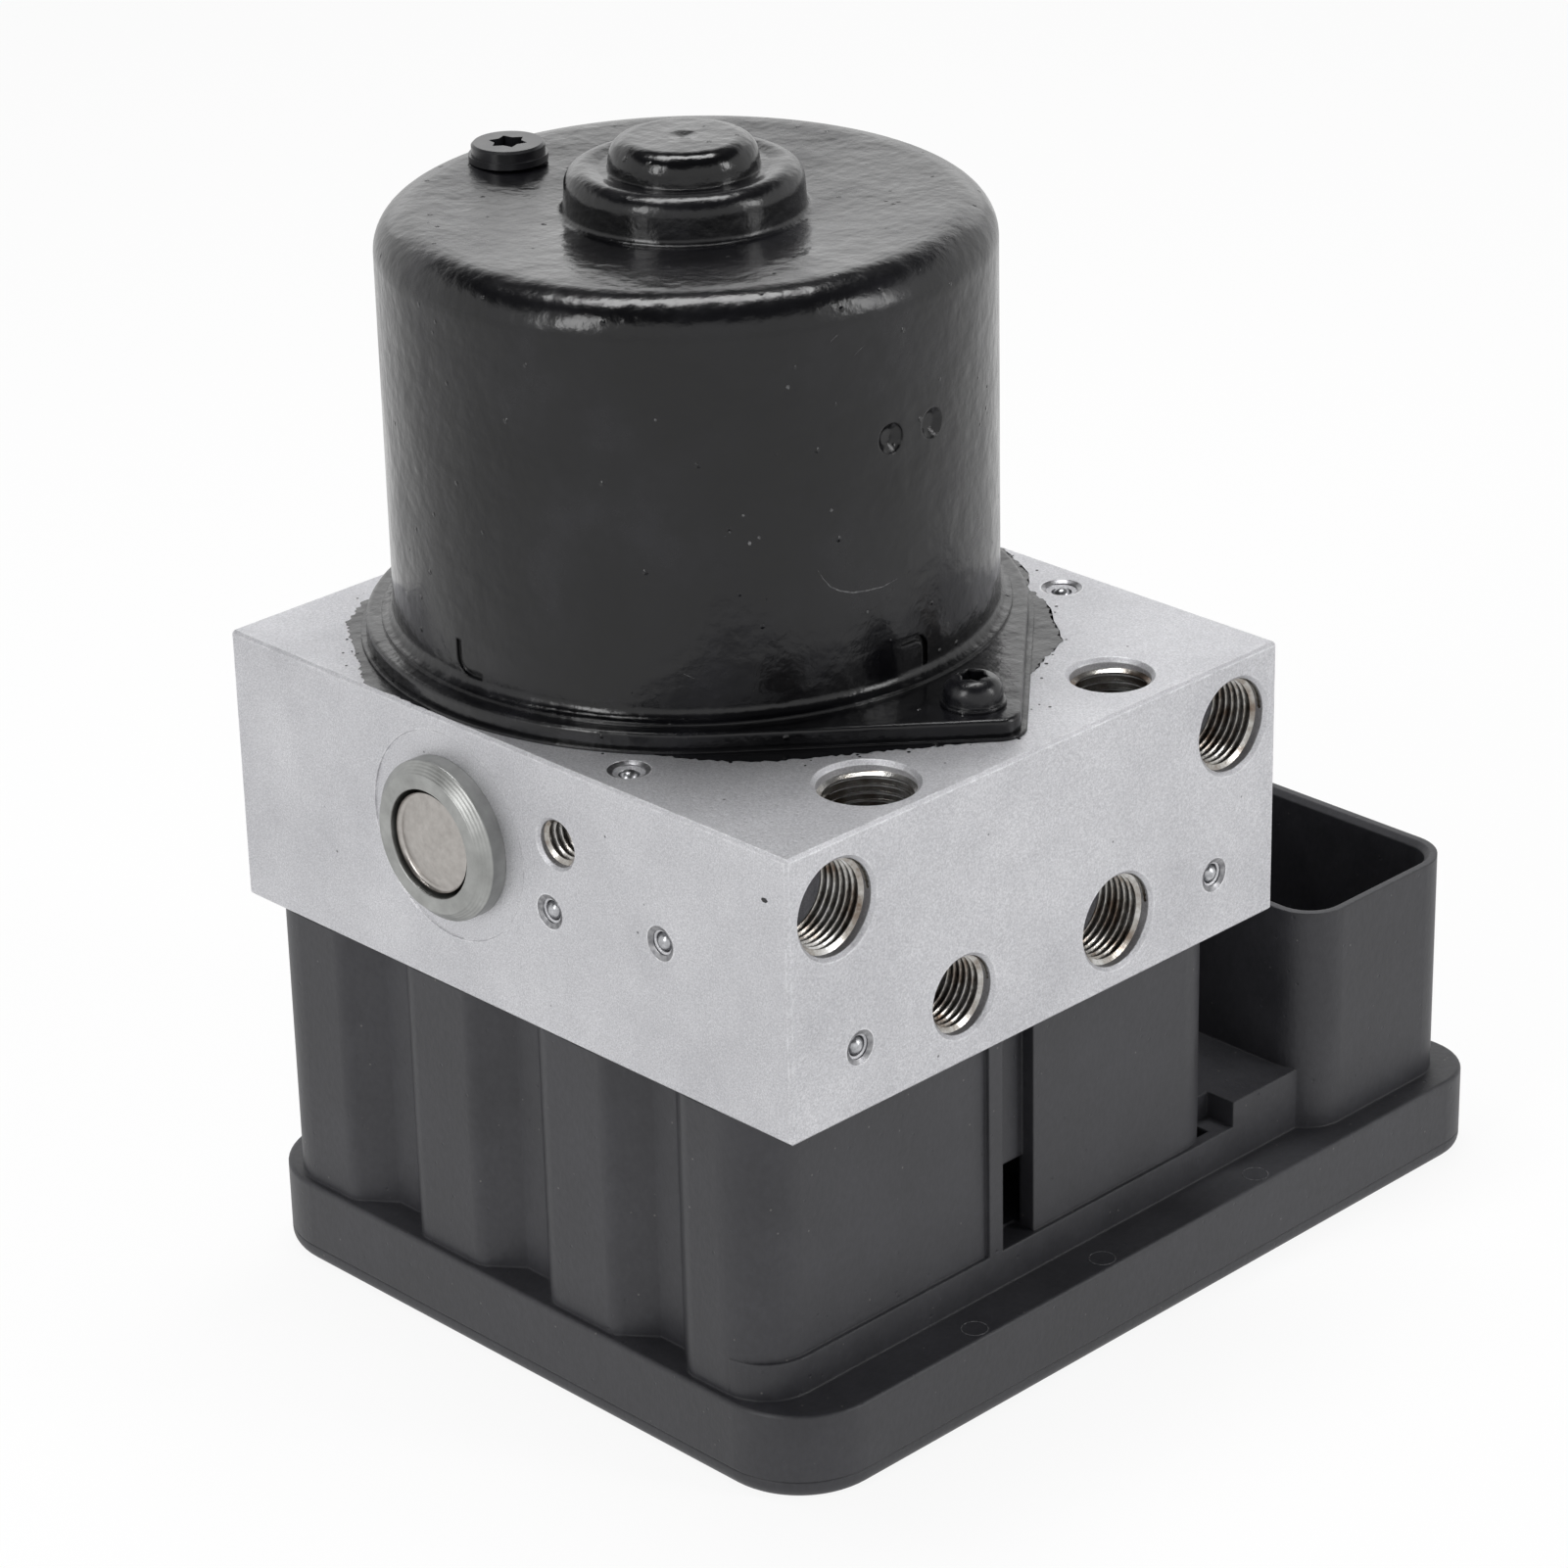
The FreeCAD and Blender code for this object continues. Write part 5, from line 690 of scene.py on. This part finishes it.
# The walls are white up to 30 degrees above the horizon and fade to a dark ceiling by 41 degrees.
world = bpy.data.worlds.new("studio")
bpy.context.scene.world = world
world.use_nodes = True
backdrop = world.node_tree.nodes["Background"]
backdrop.inputs["Color"].default_value = linear("#FFFFFF")
path = add_node(world, "LightPath")
shown = background_rays(world, path)
level = add_node(world, "MapRange", {"To Min": 0.62}, {"Value": (shown, "Value")})
heading = add_node(world, "TexCoord")
height = add_node(world, "SeparateXYZ", {}, {"Vector": (heading, "Generated")})
ceiling = add_node(world, "MapRange", {"From Min": 0.5, "From Max": 0.66, "To Min": 1.0, "To Max": 0.06},
                   {"Value": (height, "Z")})
in_view = add_node(world, "Math",
                   {"operation": "MAXIMUM"}, {0: (ceiling, "Result"), 1: (path, "Is Camera Ray")})
strength = add_node(world, "Math", {"operation": "MULTIPLY"}, {0: (level, "Result"), 1: (in_view, "Value")})
world.node_tree.links.new(strength.outputs["Value"], backdrop.inputs["Strength"])


def soft_lamp(name, spot, target, width, height, power):
    """A rectangular lamp that looks at a point."""
    lamp = bpy.data.lights.new(name, "AREA")
    lamp.shape = "RECTANGLE"
    lamp.size = width
    lamp.size_y = height
    lamp.energy = power
    holder = bpy.data.objects.new(name, lamp)
    bpy.context.scene.collection.objects.link(holder)
    aim = (Vector(target) - Vector(spot)).to_track_quat("-Z", "Y").to_matrix().to_4x4()
    holder.matrix_world = Matrix.Translation(Vector(spot)) @ aim


soft_lamp("overhead_softbox", (0.05, 0.12, 0.8), target=(0, 0, 0.08), width=0.5, height=0.22, power=4.0)
soft_lamp("left_softbox", (-0.75, -0.05, 0.5), target=(0, 0, 0.08), width=0.16, height=0.5, power=2.2)
soft_lamp("right_softbox", (0.35, -0.75, 0.45), target=(0, 0, 0.08), width=0.16, height=0.5, power=2.2)
soft_lamp("back_softbox", (0.75, 0.8, 0.5), target=(0, 0, 0.1), width=1.2, height=0.5, power=1.2)

# The camera was fitted to the block's edges and ports in the photograph.
AZIMUTH, ELEVATION, ROLL = math.radians(-44.172), math.radians(24.794), math.radians(-1.355)
SENSOR_WIDTH, FOCAL_PIXELS, FRAME_PIXELS = 36, 5195.39, 1601
back = Vector((math.sin(AZIMUTH) * math.cos(ELEVATION), -math.cos(AZIMUTH) * math.cos(ELEVATION),
               math.sin(ELEVATION)))
level_right = Vector((math.cos(AZIMUTH), math.sin(AZIMUTH), 0))
level_up = back.cross(level_right)
right = level_right * math.cos(ROLL) + level_up * math.sin(ROLL)
up = level_up * math.cos(ROLL) - level_right * math.sin(ROLL)
camera = bpy.data.cameras.new("camera")
camera.sensor_width = SENSOR_WIDTH
camera.lens = SENSOR_WIDTH * FOCAL_PIXELS / FRAME_PIXELS
camera.clip_start = 0.05
camera.clip_end = 20
viewer = bpy.data.objects.new("camera", camera)
bpy.context.scene.collection.objects.link(viewer)
spot = block_point(-358.5, -369.0, 247.3)
viewer.matrix_world = Matrix(((right.x, up.x, back.x, spot.x), (right.y, up.y, back.y, spot.y),
                              (right.z, up.z, back.z, spot.z), (0, 0, 0, 1)))
bpy.context.scene.camera = viewer
bpy.context.scene.view_settings.view_transform = "Standard"
